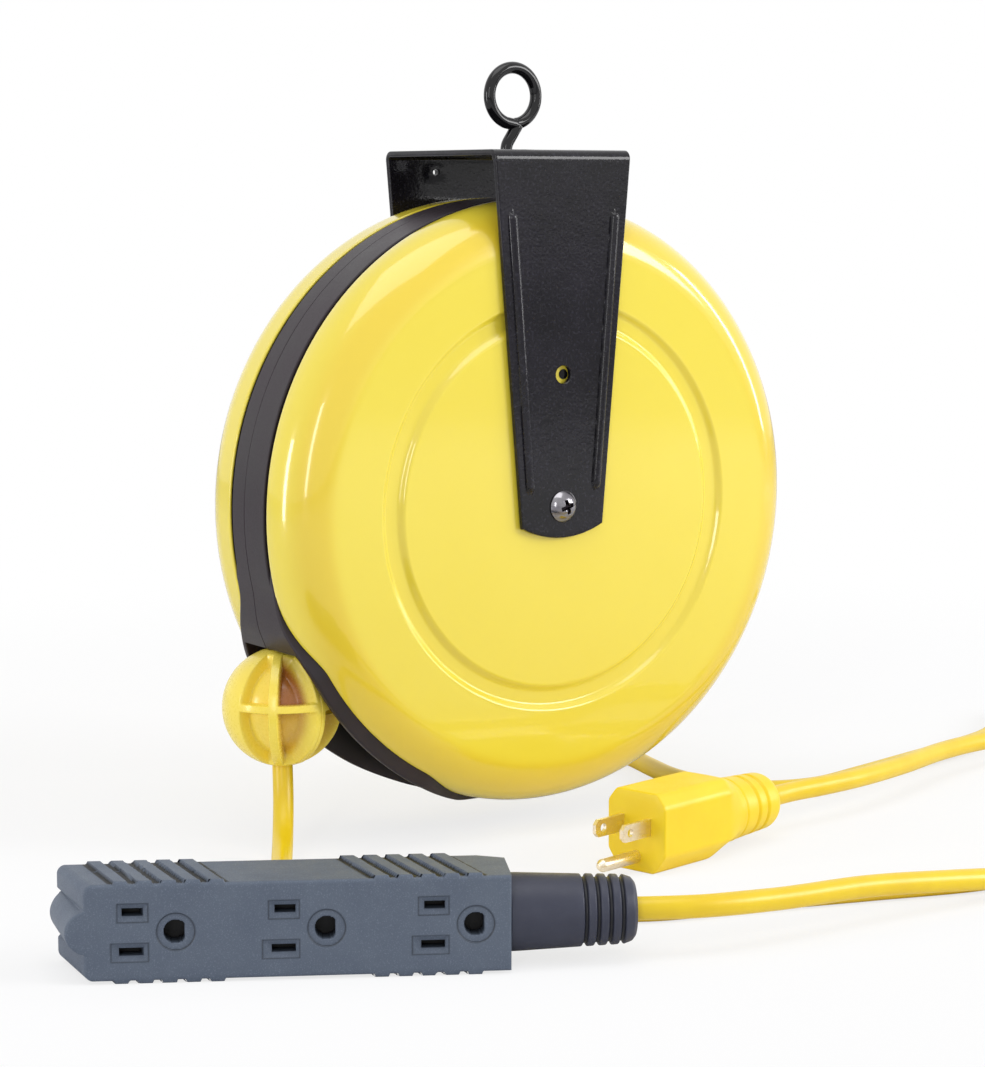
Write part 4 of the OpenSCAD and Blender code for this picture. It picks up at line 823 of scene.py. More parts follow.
def ball_surface(side):
    """Half of the ball, as a radius over direction. The radius is the ball's on the ribs and
    the pocket floor's between them; the step is an ease of the distance to the nearest rib,
    which is measured from the rib's own plane. A flat sheet closes the half at its seam. The
    marks are painted shade in the pockets: faint in the wide ones, and in the others growing
    away from the seam plane, stronger above the belt than below it."""
    lat = np.radians(np.linspace(-90, 90, 281))[:, None]
    az = np.radians(np.linspace(-90, 90, 281))[None, :]
    dx, dy, dz = np.cos(lat) * np.cos(az), np.cos(lat) * np.sin(az), np.sin(lat) + 0 * az
    rho = BALL_R * np.hypot(dx, dy)
    away = [np.abs(rho * np.sin(az - math.radians(turn))) - RIB_HALF for turn in BALL_RIBS]
    away.append(np.abs(BALL_R * dz - BALL_BELT) - BELT_HALF)
    away.append(POLE_FROM - np.abs(BALL_R * dz))
    closed = (az > math.radians(BALL_RIBS[1])) & (az < 0)
    away.append(np.where(closed, -3.0, 9.0) + 0 * dz)
    pocket = ease((np.minimum.reduce(away) + 0.5) / 1.3)
    wide = np.abs(az) < math.radians(BALL_RIBS[3])
    from_seam = np.abs(BALL_R * dx)
    sunk = np.where(wide, SIDE_DEPTH, ease((from_seam - 0.6) / 7.5)) * pocket
    r = BALL_R - sizes().pocket_depth / MM * sunk - 0.3 * np.clip(1 - from_seam / 0.3, 0, 1)
    pole = np.degrees(np.arccos(np.clip(np.abs(dz), 0, 1)))
    r = r - 1.2 * ease((13.0 - pole) / 1.8)
    grid = np.stack([side * r * dx, r * dy, r * dz], -1)
    span = np.linspace(0, 1, 5)[None, :, None]
    lid = grid[:, :1] * (1 - span) + grid[:, -1:] * span
    # Painted shade on the pocket floors
    pocket_painted_shade = 0.85 * ease((from_seam - 3.5) / 3.0) * np.where(BALL_R * dz > BALL_BELT, 1.0, 0.55)
    marks = pocket * np.where(wide, 0.09, pocket_painted_shade)
    c = from_axle(np.array(BALL_AT))
    return [turned(g, c, BALL_TURN) for g in (grid, lid)], [marks, np.zeros(lid.shape[:2])]


# ---- Shapes of the outlet block ----

OUTLETS = (17.2, 64.4, 111.6)
# Each slot's length, height on the face and bevel at its left
SLOTS = ((6.6, 6.35, 1.9), (7.6, -6.35, 2.9))
SLOT_RIGHT = 2.8
FRAME_RIGHT = 1.15
FRAME_FALL, FRAME_STEP = 1.25, 0.24
SLOT_DEPTH = 7.0
SLOT_HALF_H, FRAME_H = 1.25, 1.75
END_JOIN = 9.4
GROUND_X = 12.5
GROUND_R, GROUND_FLAT, DISH_R = 3.6, 2.8, 6.1
END_OUT, LOBE_BACK = 4.8, 3.6
LOBE_R, SHOULDER_R, SHOULDER_Z = 7.2, 3.0, 12.5
END_STRETCH = math.hypot(BLOCK_SLANT, 2 * BLOCK_HALF_D) / (2 * BLOCK_HALF_D)
GRIP_STARTS = (10.5, 92.0)
GRIP_PITCH, GRIP_W = 7.4, 4.9
BLOCK_EDGE_R = 1.1
LEFT_EDGE_R = 0.8
SCREWS_X, SCREWS_Z = (47.0, 94.0), (-11.5, 11.5)
WELL_R, WELL_DEPTH = 3.45, 3.1
WELL_ROOM = 3.6
BACK_TAPER = 11.0
HAIR = 0.02


def merged(values, gap):
    """Sorted grid lines through all given values, with gaps above gap filled evenly."""
    marks = np.unique(np.round(np.array(values, float), 4))
    counts = np.maximum(1, np.ceil(np.diff(marks) / gap - 1e-9)).astype(int)
    parts = [np.linspace(lo, hi, n, endpoint=False)
             for lo, hi, n in zip(marks[:-1], marks[1:], counts)]
    return np.concatenate(parts + [marks[-1:]])


def depth_share(y):
    """0 at the block's face and 1 at its back."""
    return (y + BLOCK_HALF_D) / (2 * BLOCK_HALF_D)


def slant_at(x, y):
    """How far the block's left end stands out at a place: the slant's share of the depth,
    fading by an ease over the 24 mm right of the end."""
    return BLOCK_SLANT * depth_share(y) * (1 - ease((x - 12.0) / 24.0))


def lobe_set_back(x, y, z):
    """How far the lobe of the left end is set back: LOBE_BACK at the block's back, none at
    its face, fading by an ease over the 14 mm right of the end."""
    lobe = LOBE_BACK * ease((8.4 - np.abs(z)) / 2.4) * depth_share(y)
    return lobe * (1 - ease((x + END_OUT) / 14.0))


def grip_places(x, y):
    """For each group of finger ribs, sheared by the depth: how many ribs a place is past the
    group's start, and how far it is past the start of the last one."""
    lean = x - slant_at(x, y) + BLOCK_SLANT * depth_share(y)
    for start in GRIP_STARTS:
        along = (lean - start) / GRIP_PITCH
        yield along, (along % 1.0) * GRIP_PITCH


def grip_height(x, y):
    """Height of the slanted finger ribs at a place on the block's top: an eased plateau over
    each rib's width, five ribs from each start."""
    ribs = [ease(q / 0.35) * ease((GRIP_W - q) / 0.35) * (along >= 0) * (along < 5)
            for along, q in grip_places(x, y)]
    return sizes().grip_rise / MM * np.maximum(*ribs) * (x > 7.0) * (x < BLOCK_L - 0.5)


def grip_painted_shade(x, y):
    """Share of painted shade in the grooves beside the finger ribs, from 0 to 1: an eased band
    at each rib's right foot, and one before the first rib of each group."""
    shade = 0.0 * x
    for along, q in grip_places(x, y):
        foot = ease((q - GRIP_W - 0.1) / 0.3) * (along > 0) * (along < 4.9)
        first = (along > -0.25) * (along <= 0.02) * ease((along + 0.25) / 0.1)
        shade = np.maximum(shade, np.maximum(foot, first))
    return shade


def left_end(z):
    """The block's left outline: shoulders with round corners, and a lobe that stands out
    between them and runs into them with small hollow fillets."""
    a = np.abs(z)
    lobe = END_STRETCH * LOBE_R * quarter(a / LOBE_R)
    shoulder = 6 + END_STRETCH * SHOULDER_R * quarter((a - SHOULDER_Z) / SHOULDER_R)
    k = 1.1
    h = np.clip(0.5 + 0.5 * (shoulder - lobe) / k, 0, 1)
    blend = shoulder * (1 - h) + lobe * h + k * h * (1 - h) * 0.6
    return np.where(a < 9.5, np.minimum(blend, 6.0), shoulder) - END_OUT


def face_recess(x, z):
    """Depth of the front's openings, and painted shade deep in them, along the frames' outer
    edges and in the dish's engraved rim: for each outlet two slots in bevelled frames, and a
    D-shaped ground hole in a shallow dish with an engraved rim."""
    depth, shade = 0.0 * x, 0.0 * x
    for ox in OUTLETS:
        for slot_l, at, bevel in SLOTS:
            right = ox + SLOT_RIGHT
            dx = np.maximum(right - slot_l - x, x - right)
            bevel_x = dx / np.where(x > right, FRAME_RIGHT, bevel)
            out = np.maximum(bevel_x, (np.abs(z - at) - SLOT_HALF_H) / FRAME_H)
            frame = FRAME_FALL * (1 - np.clip(out, 0, 1)) + FRAME_STEP * (out < 1)
            depth = np.maximum(depth, np.where(out <= 0.001, SLOT_DEPTH, frame))
            shade = np.maximum(shade, 0.55 * (out > 0.86) * (out < 1.04))
        gx = x - ox - GROUND_X
        rr = np.hypot(gx, z)
        ring = np.abs(rr - DISH_R + 0.15)
        dish = 0.5 * ease((DISH_R - 0.1 - rr) / 0.3) + 0.4 * ease(1 - ring / 0.35)
        shade = np.maximum(shade, 0.75 * ease(1 - ring / 0.4))
        depth = np.maximum(depth, dish)
        rim = np.maximum(rr - GROUND_R, gx - GROUND_FLAT)
        edge = 0.5 + 0.5 * ease((0.6 - rim) / 0.6)
        depth = np.maximum(depth, np.where((rim < 0.6) & (rr < GROUND_R + 0.9), edge, 0))
        depth = np.maximum(depth, np.where(rim < 0, SLOT_DEPTH, 0))
    return depth, np.maximum(shade, ease((depth - 1.6) / 0.8))


def block_lines(front):
    """Grid lines along and up the face's flat middle. They run through every step of the
    openings, in pairs a hair apart."""
    flat_z = BLOCK_HALF_H - BLOCK_EDGE_R
    z_lines = [-flat_z, flat_z]
    for _, at, _ in SLOTS:
        for half in (SLOT_HALF_H, SLOT_HALF_H + FRAME_H):
            z_lines += [at - half - HAIR, at - half, at + half, at + half + HAIR]
    x_lines = [END_JOIN, BLOCK_L - BLOCK_EDGE_R]
    if not front:
        x_lines += [sx + room for sx in SCREWS_X for room in (-WELL_ROOM, WELL_ROOM)]
        x_lines += [BLOCK_L - BACK_TAPER, BLOCK_L - 8.8]
        return merged(x_lines, 0.4), merged(z_lines, 0.4)
    for ox in OUTLETS:
        right = ox + SLOT_RIGHT
        for slot_l, _, bevel in SLOTS:
            for start in (right, right + FRAME_RIGHT):
                x_lines += [start, start + HAIR]
            for start in (right - slot_l, right - slot_l - bevel):
                x_lines += [start, start - HAIR]
        middle = ox + GROUND_X
        x_lines += [middle + GROUND_FLAT, middle + GROUND_FLAT + HAIR]
        x_lines += list(np.arange(middle - 6.4, middle + 6.5, 0.3))
    return merged(x_lines, 0.5), merged(z_lines, 0.4)


def block_half(front):
    """Half of the outlet block, as a closed box of sheets. Its face is a depth over (length,
    height), rounded towards top and bottom by a quarter arc, with the openings or the screw
    wells taken off; top and bottom rise over the finger ribs; the left side follows the
    lobed outline."""
    x_mid, z_mid = block_lines(front)
    arc = BLOCK_EDGE_R * np.sin(np.radians(np.linspace(0, 90, 6)[1:]))
    z = np.concatenate([-(z_mid[-1] + arc)[::-1], z_mid, z_mid[-1] + arc])[:, None]
    share = np.unique(np.append(np.linspace(0, 1, 22), (0.01, 0.03)))[None, :]
    flat_to = BLOCK_L - BLOCK_EDGE_R
    rest = np.append(x_mid[1:], flat_to + arc)[None, :] + 0 * z
    from_left = (END_JOIN - left_end(z)) * share
    x = np.concatenate([left_end(z) + from_left, rest], 1)
    from_left = np.concatenate([from_left, 9.0 + 0 * rest], 1)
    side = -1.0 if front else 1.0
    outer = BLOCK_HALF_D + 0 * x
    if not front:
        outer = np.minimum(outer, 15.5 - 5.5 / 12 * (x - BLOCK_L + BACK_TAPER))
    rise = np.clip((np.abs(z) - z_mid[-1]) / BLOCK_EDGE_R, 0, 1)
    fall = np.maximum(BLOCK_EDGE_R * quarter(rise), round_edge(from_left, LEFT_EDGE_R))
    fall = np.maximum(fall, BLOCK_EDGE_R * quarter((x - flat_to) / BLOCK_EDGE_R))
    if front:
        opening, shade = face_recess(x, z + 0 * x)
    else:
        opening, shade = 0 * x, 0 * x
        for sx in SCREWS_X:
            for sz in SCREWS_Z:
                well = WELL_DEPTH * ease((WELL_R - np.hypot(x - sx, z - sz)) / 0.25)
                opening = np.maximum(opening, well)
    y_face = side * (outer - np.maximum(fall, opening))
    z_face = z + np.sign(z) * grip_height(x, side * BLOCK_HALF_D + 0 * x) * ease(rise)
    face = np.stack([x, y_face, z_face], -1)
    split = np.stack([x, SPLIT_Y + 0 * x, z + 0 * x], -1)
    steps = np.linspace(0, 1, 24)[:, None, None]

    def wall(row_a, row_b, lifted=0.0):
        """Sheet between two borders, lifted over the finger ribs at the top or bottom."""
        g = row_a[None] * (1 - steps) + row_b[None] * steps
        if lifted:
            g[..., 2] = lifted * (BLOCK_HALF_H + grip_height(g[..., 0], g[..., 1]))
        return g

    top, bottom = wall(face[-1], split[-1], 1.0), wall(face[0], split[0], -1.0)
    split[-1], split[0] = top[-1], bottom[-1]
    ends = [wall(face[:, 0], split[:, 0]), wall(face[:, -1], split[:, -1]), split]
    # Painted shade: in the face's openings and in the grooves beside the finger ribs
    marks = [shade, *(grip_painted_shade(g[..., 0], g[..., 1]) for g in (top, bottom)),
             *(np.zeros(g.shape[:2]) for g in ends)]
    sheets = [face, top, bottom, *ends]
    for g in sheets:
        g[..., 0] -= slant_at(g[..., 0], g[..., 1]) - lobe_set_back(*np.moveaxis(g, -1, 0))
    return [turned(g, BLOCK_AT, BLOCK_TURN) for g in sheets], marks


def along_x(grid):
    """Turns a shape about +Z into one along +X."""
    return np.stack([grid[..., 2], grid[..., 0], grid[..., 1]], -1)


def sleeve_surface():
    """Cord sleeve of the block: a tapered profile with four ring grooves near its end, turned
    about the block's length. The second result is the share of painted shade in the ring
    grooves."""
    line = [(4.0, -9.0), (7.0, -9.0), (7.0, 0.05), (SLEEVE_R + 0.05, 0.05), (SLEEVE_R, 3.0)]
    for back in (17.0, 13.0, 9.0, 5.0):
        at = SLEEVE_L - back
        r = SLEEVE_R - at * SLEEVE_TAPER
        line += [(r, at - 0.85), (r - 1.1, at - 0.45), (r - 1.1, at + 0.45), (r, at + 0.85)]
    line += [(r, SLEEVE_L - back) for r, back in (
        (11.0, 3.4), (10.3, 1.4), (8.8, 0.2), (5.2, 0.0), (4.6, 0.8), (4.0, 10.0))]
    profile = soften(line, 0.45)
    grid = along_x(lathe(profile, 84)) + np.array([BLOCK_L, 0, 0])
    r, at = profile[:, 0], profile[:, 1]
    # Painted shade in the ring grooves, darker where they are deeper
    groove_painted_shade = ease((SLEEVE_R - at * SLEEVE_TAPER - r - 0.3) / 0.8)
    groove_painted_shade = 0.85 * groove_painted_shade * (at > SLEEVE_L - 22) * (at < SLEEVE_L - 3.8)
    return turned(grid, BLOCK_AT, BLOCK_TURN), np.repeat(groove_painted_shade[:, None], grid.shape[1], 1)


# ---- Shapes of the plug and the gland ----

# The plug's section at its front, a chamfered box with a keel, from its right side upwards
PLUG_LOOP = np.array([(13.5, 1.5), (13.5, 10.7), (9.6, 15.5), (-9.6, 15.5), (-13.5, 10.7),
                      (-13.5, -7.6), (-8.2, -14.5), (8.2, -14.5), (13.5, -7.6), (13.5, 1.0)])
KEEL_Z = -7.6
NECK_FROM, NECK_TO = 71.0, 76.0
NECK_ROUND = 5.0


def plug_surface():
    """Body of the plug: sections square to its length, each a mix of a chamfered box with a
    narrow keel and of a circle. The mix, the keel's depth and the neck's ring grooves follow
    the length."""
    soft = soften(PLUG_LOOP, 1.3, 5)
    soft = np.concatenate([soft, soft[:1]])
    step = np.append(0, np.cumsum(np.linalg.norm(np.diff(soft, axis=0), axis=1)))
    wanted = np.unique(np.concatenate([np.linspace(0, step[-1], 181), step]))
    box = np.stack([np.interp(wanted, step, soft[:, i]) for i in (0, 1)], -1)
    angle = np.arctan2(box[:, 1], box[:, 0])
    disc = np.stack([np.cos(angle), np.sin(angle)], -1)
    neck = NECK_TO - NECK_ROUND * (1 - np.sin(np.linspace(0, math.pi / 2, 14)))
    x = np.unique(np.round(np.concatenate([
        [0.0, 0.12, 0.35, 0.7, 1.2], np.linspace(2, 30, 15), np.linspace(30.5, 52, 44),
        np.linspace(52.2, 70, 90), neck]), 3))
    to_round = ease((x - 38.0) / 12.5)[:, None, None]
    keel = ease((x - 31.0) / 14.0)[:, None]
    y, z = (box[None, :, i] + 0 * x[:, None] for i in (0, 1))
    z = np.where(z < KEEL_Z, KEEL_Z + (z - KEEL_Z) * (1 - keel * 0.62), z)
    r = np.interp(x, [0, 50, 52, NECK_FROM], [12.3, 12.3, 12.0, 11.0])
    r = r - NECK_ROUND * quarter((x - NECK_FROM) / NECK_ROUND)
    for at, wide, deep in ((59.5, 1.3, 1.0), (65.5, 1.3, 1.0), (51.6, 0.9, 0.5)):
        r = r - deep * ease(1 - np.abs(x - at) / wide)
    section = np.stack([y, z], -1) * (1 - to_round) + disc[None] * r[:, None, None] * to_round
    inset = round_edge(x, 0.7)[:, None, None]
    section = section * (1 - inset / np.linalg.norm(section, axis=-1, keepdims=True))
    grid = np.concatenate([x[:, None, None] + 0 * section[..., :1], section], -1)

    def shrunk(row, share, back=0.0):
        """A section made smaller about the plug's line and moved back along it."""
        return row * np.array([1.0, share, share]) - np.array([back, 0.0, 0.0])

    front = [shrunk(grid[:1], share) for share in np.linspace(0, 0.8, 5)]
    tail = [shrunk(grid[-1:], *how) for how in ((0.66,), (0.62, 6.0), (0.0, 6.0))]
    return turned(np.concatenate([*front, grid, *tail]), PLUG_AT, PLUG_TURN)


def ground_pin_surface():
    """Round ground pin: a cylinder with a blunt cone at its tip, turned about its length."""
    line = [(0, -21.0), (0.9, -21.0), (1.3, -20.7), (2.4, -19.2), (2.4, 10.0), (0, 10.0)]
    grid = along_x(lathe(soften(line, 0.5, 5), 40)) + np.array([0, 0, -9.0])
    return turned(grid, PLUG_AT, PLUG_TURN)


def gland_surface():
    """Strain relief on the rear cover: a collar inside, a collar outside and a tapered sleeve
    with shallow flex grooves, turned about the cord."""
    line = [(3.95, 31.1), (8.5, 31.1), (8.5, 35.0), (6.3, 35.0), (6.3, 36.4), (9.0, 36.4),
            (9.0, 38.6), (7.7, 40.2)]
    for at in (44.0, 47.5, 51.0, 54.5, 58.0):
        r = 7.6 - (at - 40.2) / 24 * 2
        line += [(r, at - 0.9), (r - 0.75, at - 0.55), (r - 0.75, at + 0.55), (r - 0.15, at + 0.9)]
    line += [(5.65, 63.6), (5.2, 64.3), (4.6, 64.3), (3.95, 54.3)]
    grid = lathe(soften(line, 0.35), 60) * np.array([1, 1, -1])
    return from_axle(grid + np.array([GLAND_AT[0], GLAND_AT[1], 0]))


def wound_surface():
    """Cord wound on the drum: a helix that goes to and fro across the drum in five layers of
    four turns, each layer nested on the one below."""
    turns = np.linspace(0, 20, 20 * 44 + 1)
    layer = np.clip(np.floor(turns / 4), 0, 4)
    part = np.clip(turns / 4 - layer, 0, 1)
    climb = layer + ease((part - 0.93) / 0.07) * (layer < 4)
    swing = np.where(layer % 2 == 0, part, 1 - part)
    r = DRUM_R + WOUND_R + 0.1 + LAYER_RISE * climb
    f = 2.0 + (swing - 0.5) * WOUND_W
    a = 2 * math.pi * turns
    return tube(from_axle(np.stack([r * np.cos(a), r * np.sin(a), f], -1)), WOUND_R, 12)


# ---- Operators ----

MIDDLE = (0.0, -0.02, -0.16)
# Each lamp's place, target, share of the key lamp's power, width and height
LAMPS = {
    "key_lamp": ((1.15, -1.3, 0.5), MIDDLE, 1.0, 0.75, 0.7),
    "top_lamp": ((-0.25, -0.35, 1.3), MIDDLE, 0.6, 1.3, 1.0),
    "left_lamp": ((-1.25, 0.12, -0.12), (-0.1, 0.02, -0.16), 0.3, 0.16, 0.7),
    "right_lamp": ((1.25, -0.58, 0.14), (0.0, -0.03, -0.16), 0.22, 0.12, 0.6),
    "camera_lamp": ((-1.35, -1.25, 0.25), MIDDLE, 0.24, 0.16, 0.8),
}


class CORDREEL_OT_stage(Operator):
    """Puts up the camera, the floor, the lamps and the surroundings"""
    bl_idname = "cordreel.stage"
    bl_label = "Stage"

    def execute(self, context):
        scene = context.scene
        lens = bpy.data.cameras.new("camera")
        lens.sensor_width, lens.sensor_fit, lens.lens = 36.0, "AUTO", 93.54
        lens.clip_start, lens.clip_end = 0.05, 60.0
        camera = bpy.data.objects.new("camera", lens)
        camera.location = (-0.6032, -0.8938, -0.0360)
        camera.rotation_euler = (math.radians(82.94), 0.0, math.radians(-33.6))
        scene.collection.objects.link(camera)
        scene.camera = camera
        scene.view_settings.view_transform = "Standard"

        line = np.linspace(-1, 1, 41) ** 3 * 9000.0
        x, y = np.meshgrid(line, line)
        floor = make_piece("studio_floor", [np.stack([x, y, FLOOR_Z + 0 * x], -1)])
        if floor.data.polygons[0].normal.z < 0:
            floor.data.flip_normals()
        floor.data.materials.append(self.paper())

        self.surroundings(scene)
        for name, (place, target, share, wide, high) in LAMPS.items():
            data = bpy.data.lights.new(name, "AREA")
            data.shape, data.size, data.size_y = "RECTANGLE", wide, high
            data.energy = sizes().key_power * share
            lamp = bpy.data.objects.new(name, data)
            lamp.location = place
            aim = Vector(target) - Vector(place)
            lamp.rotation_euler = aim.to_track_quat("-Z", "Y").to_euler()
            scene.collection.objects.link(lamp)
        return {"FINISHED"}

    @staticmethod
    def paper():
        """White paper. The camera sees it partly by a light of its own, more so far away."""
        made = bpy.data.materials.new("floor_paper")
        tree, out = empty_tree(made, "ShaderNodeOutputMaterial")
        place = node_of(tree, "ShaderNodeTexCoord").outputs["Object"]
        spread = remap(tree, noise(tree, place, 90.0, 4.0), 0.0, 1.0, 0.97, 1.0)
        base = tuple(colours().floor_white)
        tint = mix_colour(tree, spread, (*(c * 0.9 for c in base), 1.0), (*base, 1.0))
        soft = node_of(tree, "ShaderNodeBsdfDiffuse", {"Color": tint, "Roughness": 0.6})
        seen = node_of(tree, "ShaderNodeLightPath").outputs["Is Camera Ray"]
        glow = node_of(tree, "ShaderNodeEmission", {"Color": (1, 1, 1, 1), "Strength": 1.0})
        middle = node_of(tree, "ShaderNodeMapping",
                         {"Vector": place, "Location": (-0.02, 0.05, 0.0)}).outputs[0]
        flat = node_of(tree, "ShaderNodeVectorMath", {0: middle, 1: (1.0, 1.0, 0.0)},
                       operation="MULTIPLY").outputs[0]
        away = node_of(tree, "ShaderNodeVectorMath", {0: flat}, operation="LENGTH")
        far = remap(tree, away.outputs["Value"], 0.3, 0.75, 0.74, 1.0,
                    interpolation_type="SMOOTHSTEP")
        share = calc(tree, "MULTIPLY", far, seen)
        both = node_of(tree, "ShaderNodeMixShader",
                       {0: share, 1: soft.outputs[0], 2: glow.outputs[0]})
        tree.links.new(both.outputs[0], out.inputs[0])
        return made

    @staticmethod
    def surroundings(scene):
        """White all round for the camera and for reflections, and a plain level for the rest."""
        scene.world = scene.world or bpy.data.worlds.new("surroundings")
        tree, out = empty_tree(scene.world, "ShaderNodeOutputWorld")
        path = node_of(tree, "ShaderNodeLightPath").outputs
        seen = calc(tree, "MAXIMUM", path["Is Camera Ray"], path["Is Glossy Ray"])
        seen = calc(tree, "MAXIMUM", seen, path["Is Transmission Ray"])
        back = node_of(tree, "ShaderNodeBackground",
                       {"Color": (1, 1, 1, 1), "Strength": remap(tree, seen, 0.0, 1.0, 0.5, 1.0)})
        tree.links.new(back.outputs[0], out.inputs[0])


class CORDREEL_OT_cords(Operator):
    """Lays both cords along their routes, with the gland where the supply cord leaves"""
    bl_idname = "cordreel.cords"
    bl_label = "Cords and gland"

    def execute(self, context):
        r = sizes().cord_diameter / MM / 2
        for node, route in (("outlet_cord", OUTLET_ROUTE), ("supply_cord", SUPPLY_ROUTE)):
            grid = tube(smooth_path(route, 8), r, 22)
            rows, cols = grid.shape[:2]
            rounds, lengths = np.meshgrid(np.linspace(0, 1, cols), np.linspace(0, 120, rows))
            made = make_piece(node + "_jacket", [grid], maps=[np.stack([rounds, lengths], -1)])
            settle(made, "cord_vinyl", node)
        gland = make_piece("supply_gland_sleeve", [gland_surface()], sharp=50)
        settle(gland, "black_rubber", "supply_gland")
        return {"FINISHED"}


class CORDREEL_OT_covers(Operator):
    """Builds the two pressed covers"""
    bl_idname = "cordreel.covers"
    bl_label = "Covers"

    def execute(self, context):
        for side, node in ((1, "front_cover"), (-1, "rear_cover")):
            grid, painted_edge_shade = cover_surface(side)
            # The marks are painted shade, a deeper gold over the edge arc
            made = make_piece(node + "_pressing", [grid], sharp=50, marks=[0.4 * painted_edge_shade])
            settle(made, "cover_enamel", node)
        return {"FINISHED"}


class CORDREEL_OT_bands(Operator):
    """Builds the rim band and its cord mouth"""
    bl_idname = "cordreel.bands"
    bl_label = "Rim band and mouth"

    def execute(self, context):
        for side, node in ((1, "front_rim_band"), (-1, "rear_rim_band")):
            grid, marks = band_surface(side)
            made = make_piece(node + "_moulding", [grid], sharp=42, marks=[marks])
            settle(made, "band_moulding", node)
        return {"FINISHED"}


class CORDREEL_OT_yoke(Operator):
    """Builds the bent yoke, cuts its holes and puts a black disc of painted shade behind each of
    the lower ones
    """
    bl_idname = "cordreel.yoke"
    bl_label = "Yoke"

    def execute(self, context):
        low = from_axle(np.array((0.0, 50.0, 0.0)))
        near = from_axle(np.array((*STAMP_AT, 0.0)))
        cutters = [peg(low, (0, -1, 0), 3.4, 36.5, 39.0, 0.4),
                   peg(low, (0, 1, 0), 3.4, 36.5, 39.0, 0.4),
                   peg(near, (0, 1, 0), 1.2, 36.0, 40.0)]
        for f in (-24.0, 24.0):
            top = from_axle(np.array((0.0, YOKE_RISE, f)))
            cutters.append(peg(top, (0, 0, 1), 3.2, -2.4, 0.1, 0.35))
        made = make_piece("yoke_strip", [yoke_surface()], sharp=50)
        cut(made, cutters)
        # Painted shade: a black disc on each cover stands for the shade seen through the yoke's
        # lower hole
        at = low + np.array((1.5, 0.0, 0.0))
        for side, node in ((1, "front_cover"), (-1, "rear_cover")):
            shade_disc = peg(at, (0, -side, 0), 1.9, FACE_F - 0.3, FACE_F + 0.25)
            shade_disc.name = node + "_rivet"
            settle(shade_disc, "eye_enamel", node)
        settle(made, "yoke_enamel", "yoke")
        return {"FINISHED"}


class CORDREEL_OT_eye(Operator):
    """Builds the eye bolt"""
    bl_idname = "cordreel.eye"
    bl_label = "Eye bolt"

    def execute(self, context):
        made = make_piece("eye_bolt_rod", eye_bolt_surface(), sharp=50)
        settle(made, "eye_enamel", "eye_bolt")
        return {"FINISHED"}


class CORDREEL_OT_axle_screws(Operator):
    """Builds the two screws that hold the yoke to the axle"""
    bl_idname = "cordreel.axle_screws"
    bl_label = "Axle screws"

    def execute(self, context):
        grid, marks = screw_surface()
        grid = turned(grid, (0.0, 0.0, ARM_OUT_F), 18.0)
        for side, node in ((1, "front_axle_screw"), (-1, "rear_axle_screw")):
            placed = from_axle(grid * np.array([1, 1, side]))
            made = make_piece(node + "_head", [placed], sharp=40, marks=[marks])
            settle(made, "screw_chrome", node)
        return {"FINISHED"}


class CORDREEL_OT_ball(Operator):
    """Builds the two halves of the ribbed ball stop"""
    bl_idname = "cordreel.ball"
    bl_label = "Ball stop"

    def execute(self, context):
        for side, node in ((1, "outer_ball_half"), (-1, "inner_ball_half")):
            sheets, marks = ball_surface(side)
            made = make_piece(node + "_moulding", sheets, sharp=60, marks=marks)
            if side < 0:
                c = from_axle(np.array(BALL_AT))
                along = turned(np.array((-1.0, 0.0, 0.0)), (0, 0, 0), BALL_TURN)
                wells = [turned(np.array((0.0, y, 0.0)), c, BALL_TURN) for y in (-12.0, 12.0)]
                cut(made, [peg(well, along, 3.2, 8.5, 24.0) for well in wells])
            settle(made, "ball_moulding", node)
        return {"FINISHED"}


class CORDREEL_OT_block(Operator):
    """Builds the outlet block and its cord sleeve"""
    bl_idname = "cordreel.block"
    bl_label = "Outlet block"

    def execute(self, context):
        for front, node in ((True, "block_front"), (False, "block_back")):
            sheets, marks = block_half(front)
            made = make_piece(node + "_moulding", sheets, sharp=34, marks=marks)
            settle(made, "block_moulding", node)
        grid, marks = sleeve_surface()
        made = make_piece("block_sleeve_moulding", [grid], sharp=50, marks=[marks])
        settle(made, "sleeve_moulding", "block_sleeve")
        return {"FINISHED"}


class CORDREEL_OT_plug(Operator):
    """Builds the plug's body and its ground pin"""
    bl_idname = "cordreel.plug"
    bl_label = "Plug"

    def execute(self, context):
        made = make_piece("plug_body_moulding", [plug_surface()], sharp=34)
        settle(made, "plug_moulding", "plug_body")
        pin = make_piece("ground_pin_turning", [ground_pin_surface()], sharp=40)
        settle(pin, "blade_metal", "ground_pin")
        return {"FINISHED"}


class CORDREEL_OT_wound_cord(Operator):
    """Winds the rest of the outlet cord on the drum"""
    bl_idname = "cordreel.wound_cord"
    bl_label = "Wound cord"

    def execute(self, context):
        made = make_piece("wound_cord_turns", [wound_surface()])
        settle(made, "cord_vinyl", "wound_cord", "spool")
        return {"FINISHED"}


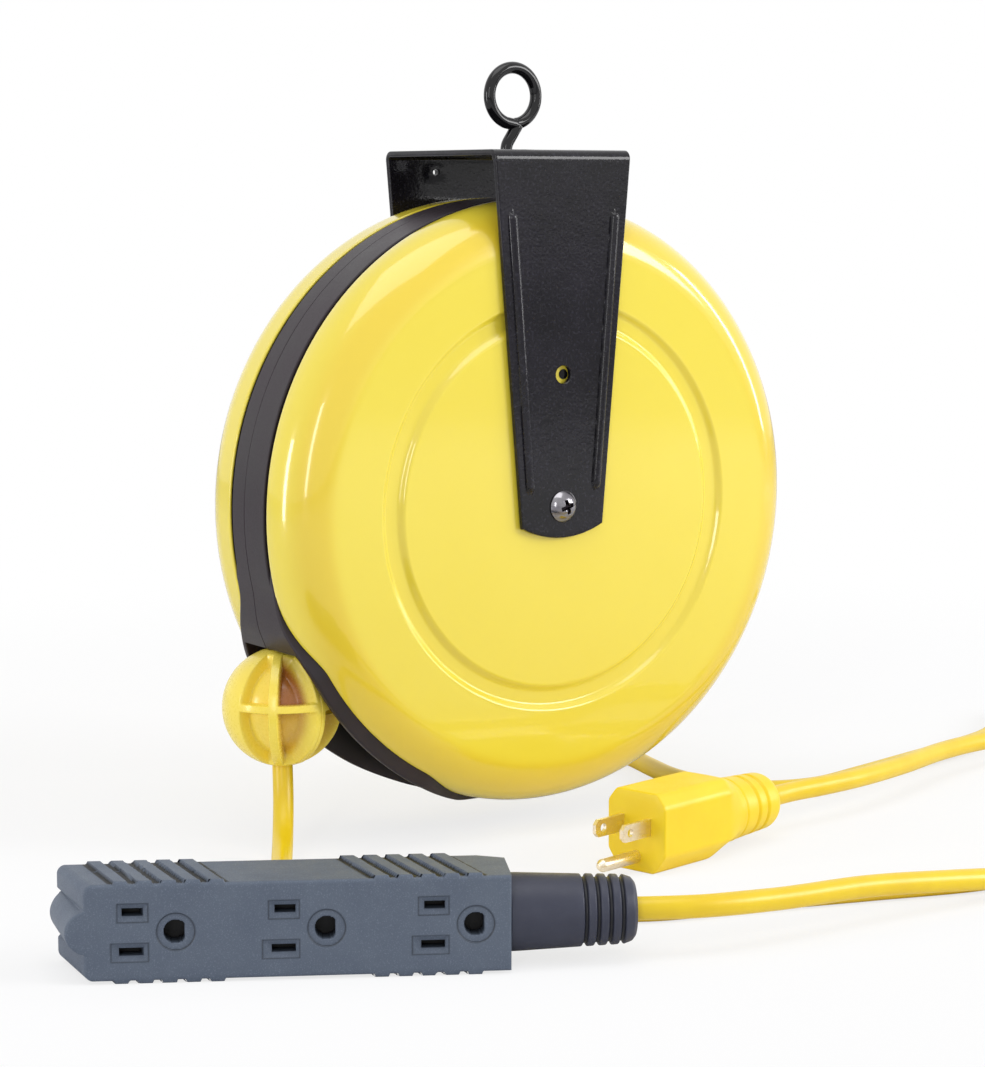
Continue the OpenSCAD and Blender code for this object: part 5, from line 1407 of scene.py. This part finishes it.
CARRIED_OVER = {
    "zinc_steel": ("eye_nut", "eye_washer", "contact_screws", "flange_screws", "block_screws",
                   "ball_screws", "pawl_pin", "axle_spacers"),
    "plain_steel": ("axle", "pawl_plate", "pawl", "spring_arbor", "ratchet_wheel"),
    "spring_steel": ("pawl_spring", "power_spring"),
    "black_plastic": ("contact_block", "slip_ring_disc"),
    "pale_plastic": ("drum", "front_flange", "rear_flange", "front_bush", "rear_bush"),
    "contact_brass": ("line_finger", "neutral_finger", "ground_finger", "line_ring",
                      "neutral_ring", "ground_ring", "line_bar", "neutral_bar", "ground_bar"),
    "lead_cover": ("supply_leads",),
    "blade_metal": ("line_blade", "neutral_blade"),
}


class CORDREEL_OT_finishes(Operator):
    bl_idname = "cordreel.finishes"
    bl_label = "Finishes of carried-over pieces"

    def execute(self, context):
        for name, nodes in CARRIED_OVER.items():
            for node in nodes:
                wear(frame["nodes"][node], look(name))
        return {"FINISHED"}


STEPS = (
    CORDREEL_OT_stage, CORDREEL_OT_cords, CORDREEL_OT_covers, CORDREEL_OT_bands,
    CORDREEL_OT_yoke, CORDREEL_OT_eye, CORDREEL_OT_axle_screws, CORDREEL_OT_ball,
    CORDREEL_OT_block, CORDREEL_OT_plug, CORDREEL_OT_wound_cord, CORDREEL_OT_finishes)


class CORDREEL_PT_panel(Panel):
    """Lists the sizes, the colours and the building steps"""
    bl_idname = "CORDREEL_PT_panel"
    bl_label = "Cord Reel"
    bl_space_type = "VIEW_3D"
    bl_region_type = "UI"
    bl_category = "Cord Reel"

    def draw(self, context):
        for title, group, holder in (("Sizes", context.scene.cord_reel_sizes, ReelSizes),
                                     ("Colours", context.scene.cord_reel_colours, ReelColours)):
            box = self.layout.box()
            box.label(text=title)
            for key in holder.__annotations__:
                box.prop(group, key)
        for step in STEPS:
            self.layout.operator(step.bl_idname)


CLASSES = (ReelSizes, ReelColours, *STEPS, CORDREEL_PT_panel)


def register():
    for item in CLASSES:
        bpy.utils.register_class(item)
    bpy.types.Scene.cord_reel_sizes = PointerProperty(type=ReelSizes)
    bpy.types.Scene.cord_reel_colours = PointerProperty(type=ReelColours)


def unregister():
    del bpy.types.Scene.cord_reel_colours
    del bpy.types.Scene.cord_reel_sizes
    for item in reversed(CLASSES):
        bpy.utils.unregister_class(item)


def plain(box):
    """A box as plain lists of numbers."""
    return [[float(v) for v in corner] for corner in box]


def main():
    register()
    for step in STEPS:
        group, name = step.bl_idname.split(".")
        getattr(getattr(bpy.ops, group), name)()


if __name__ == "__main__":
    main()
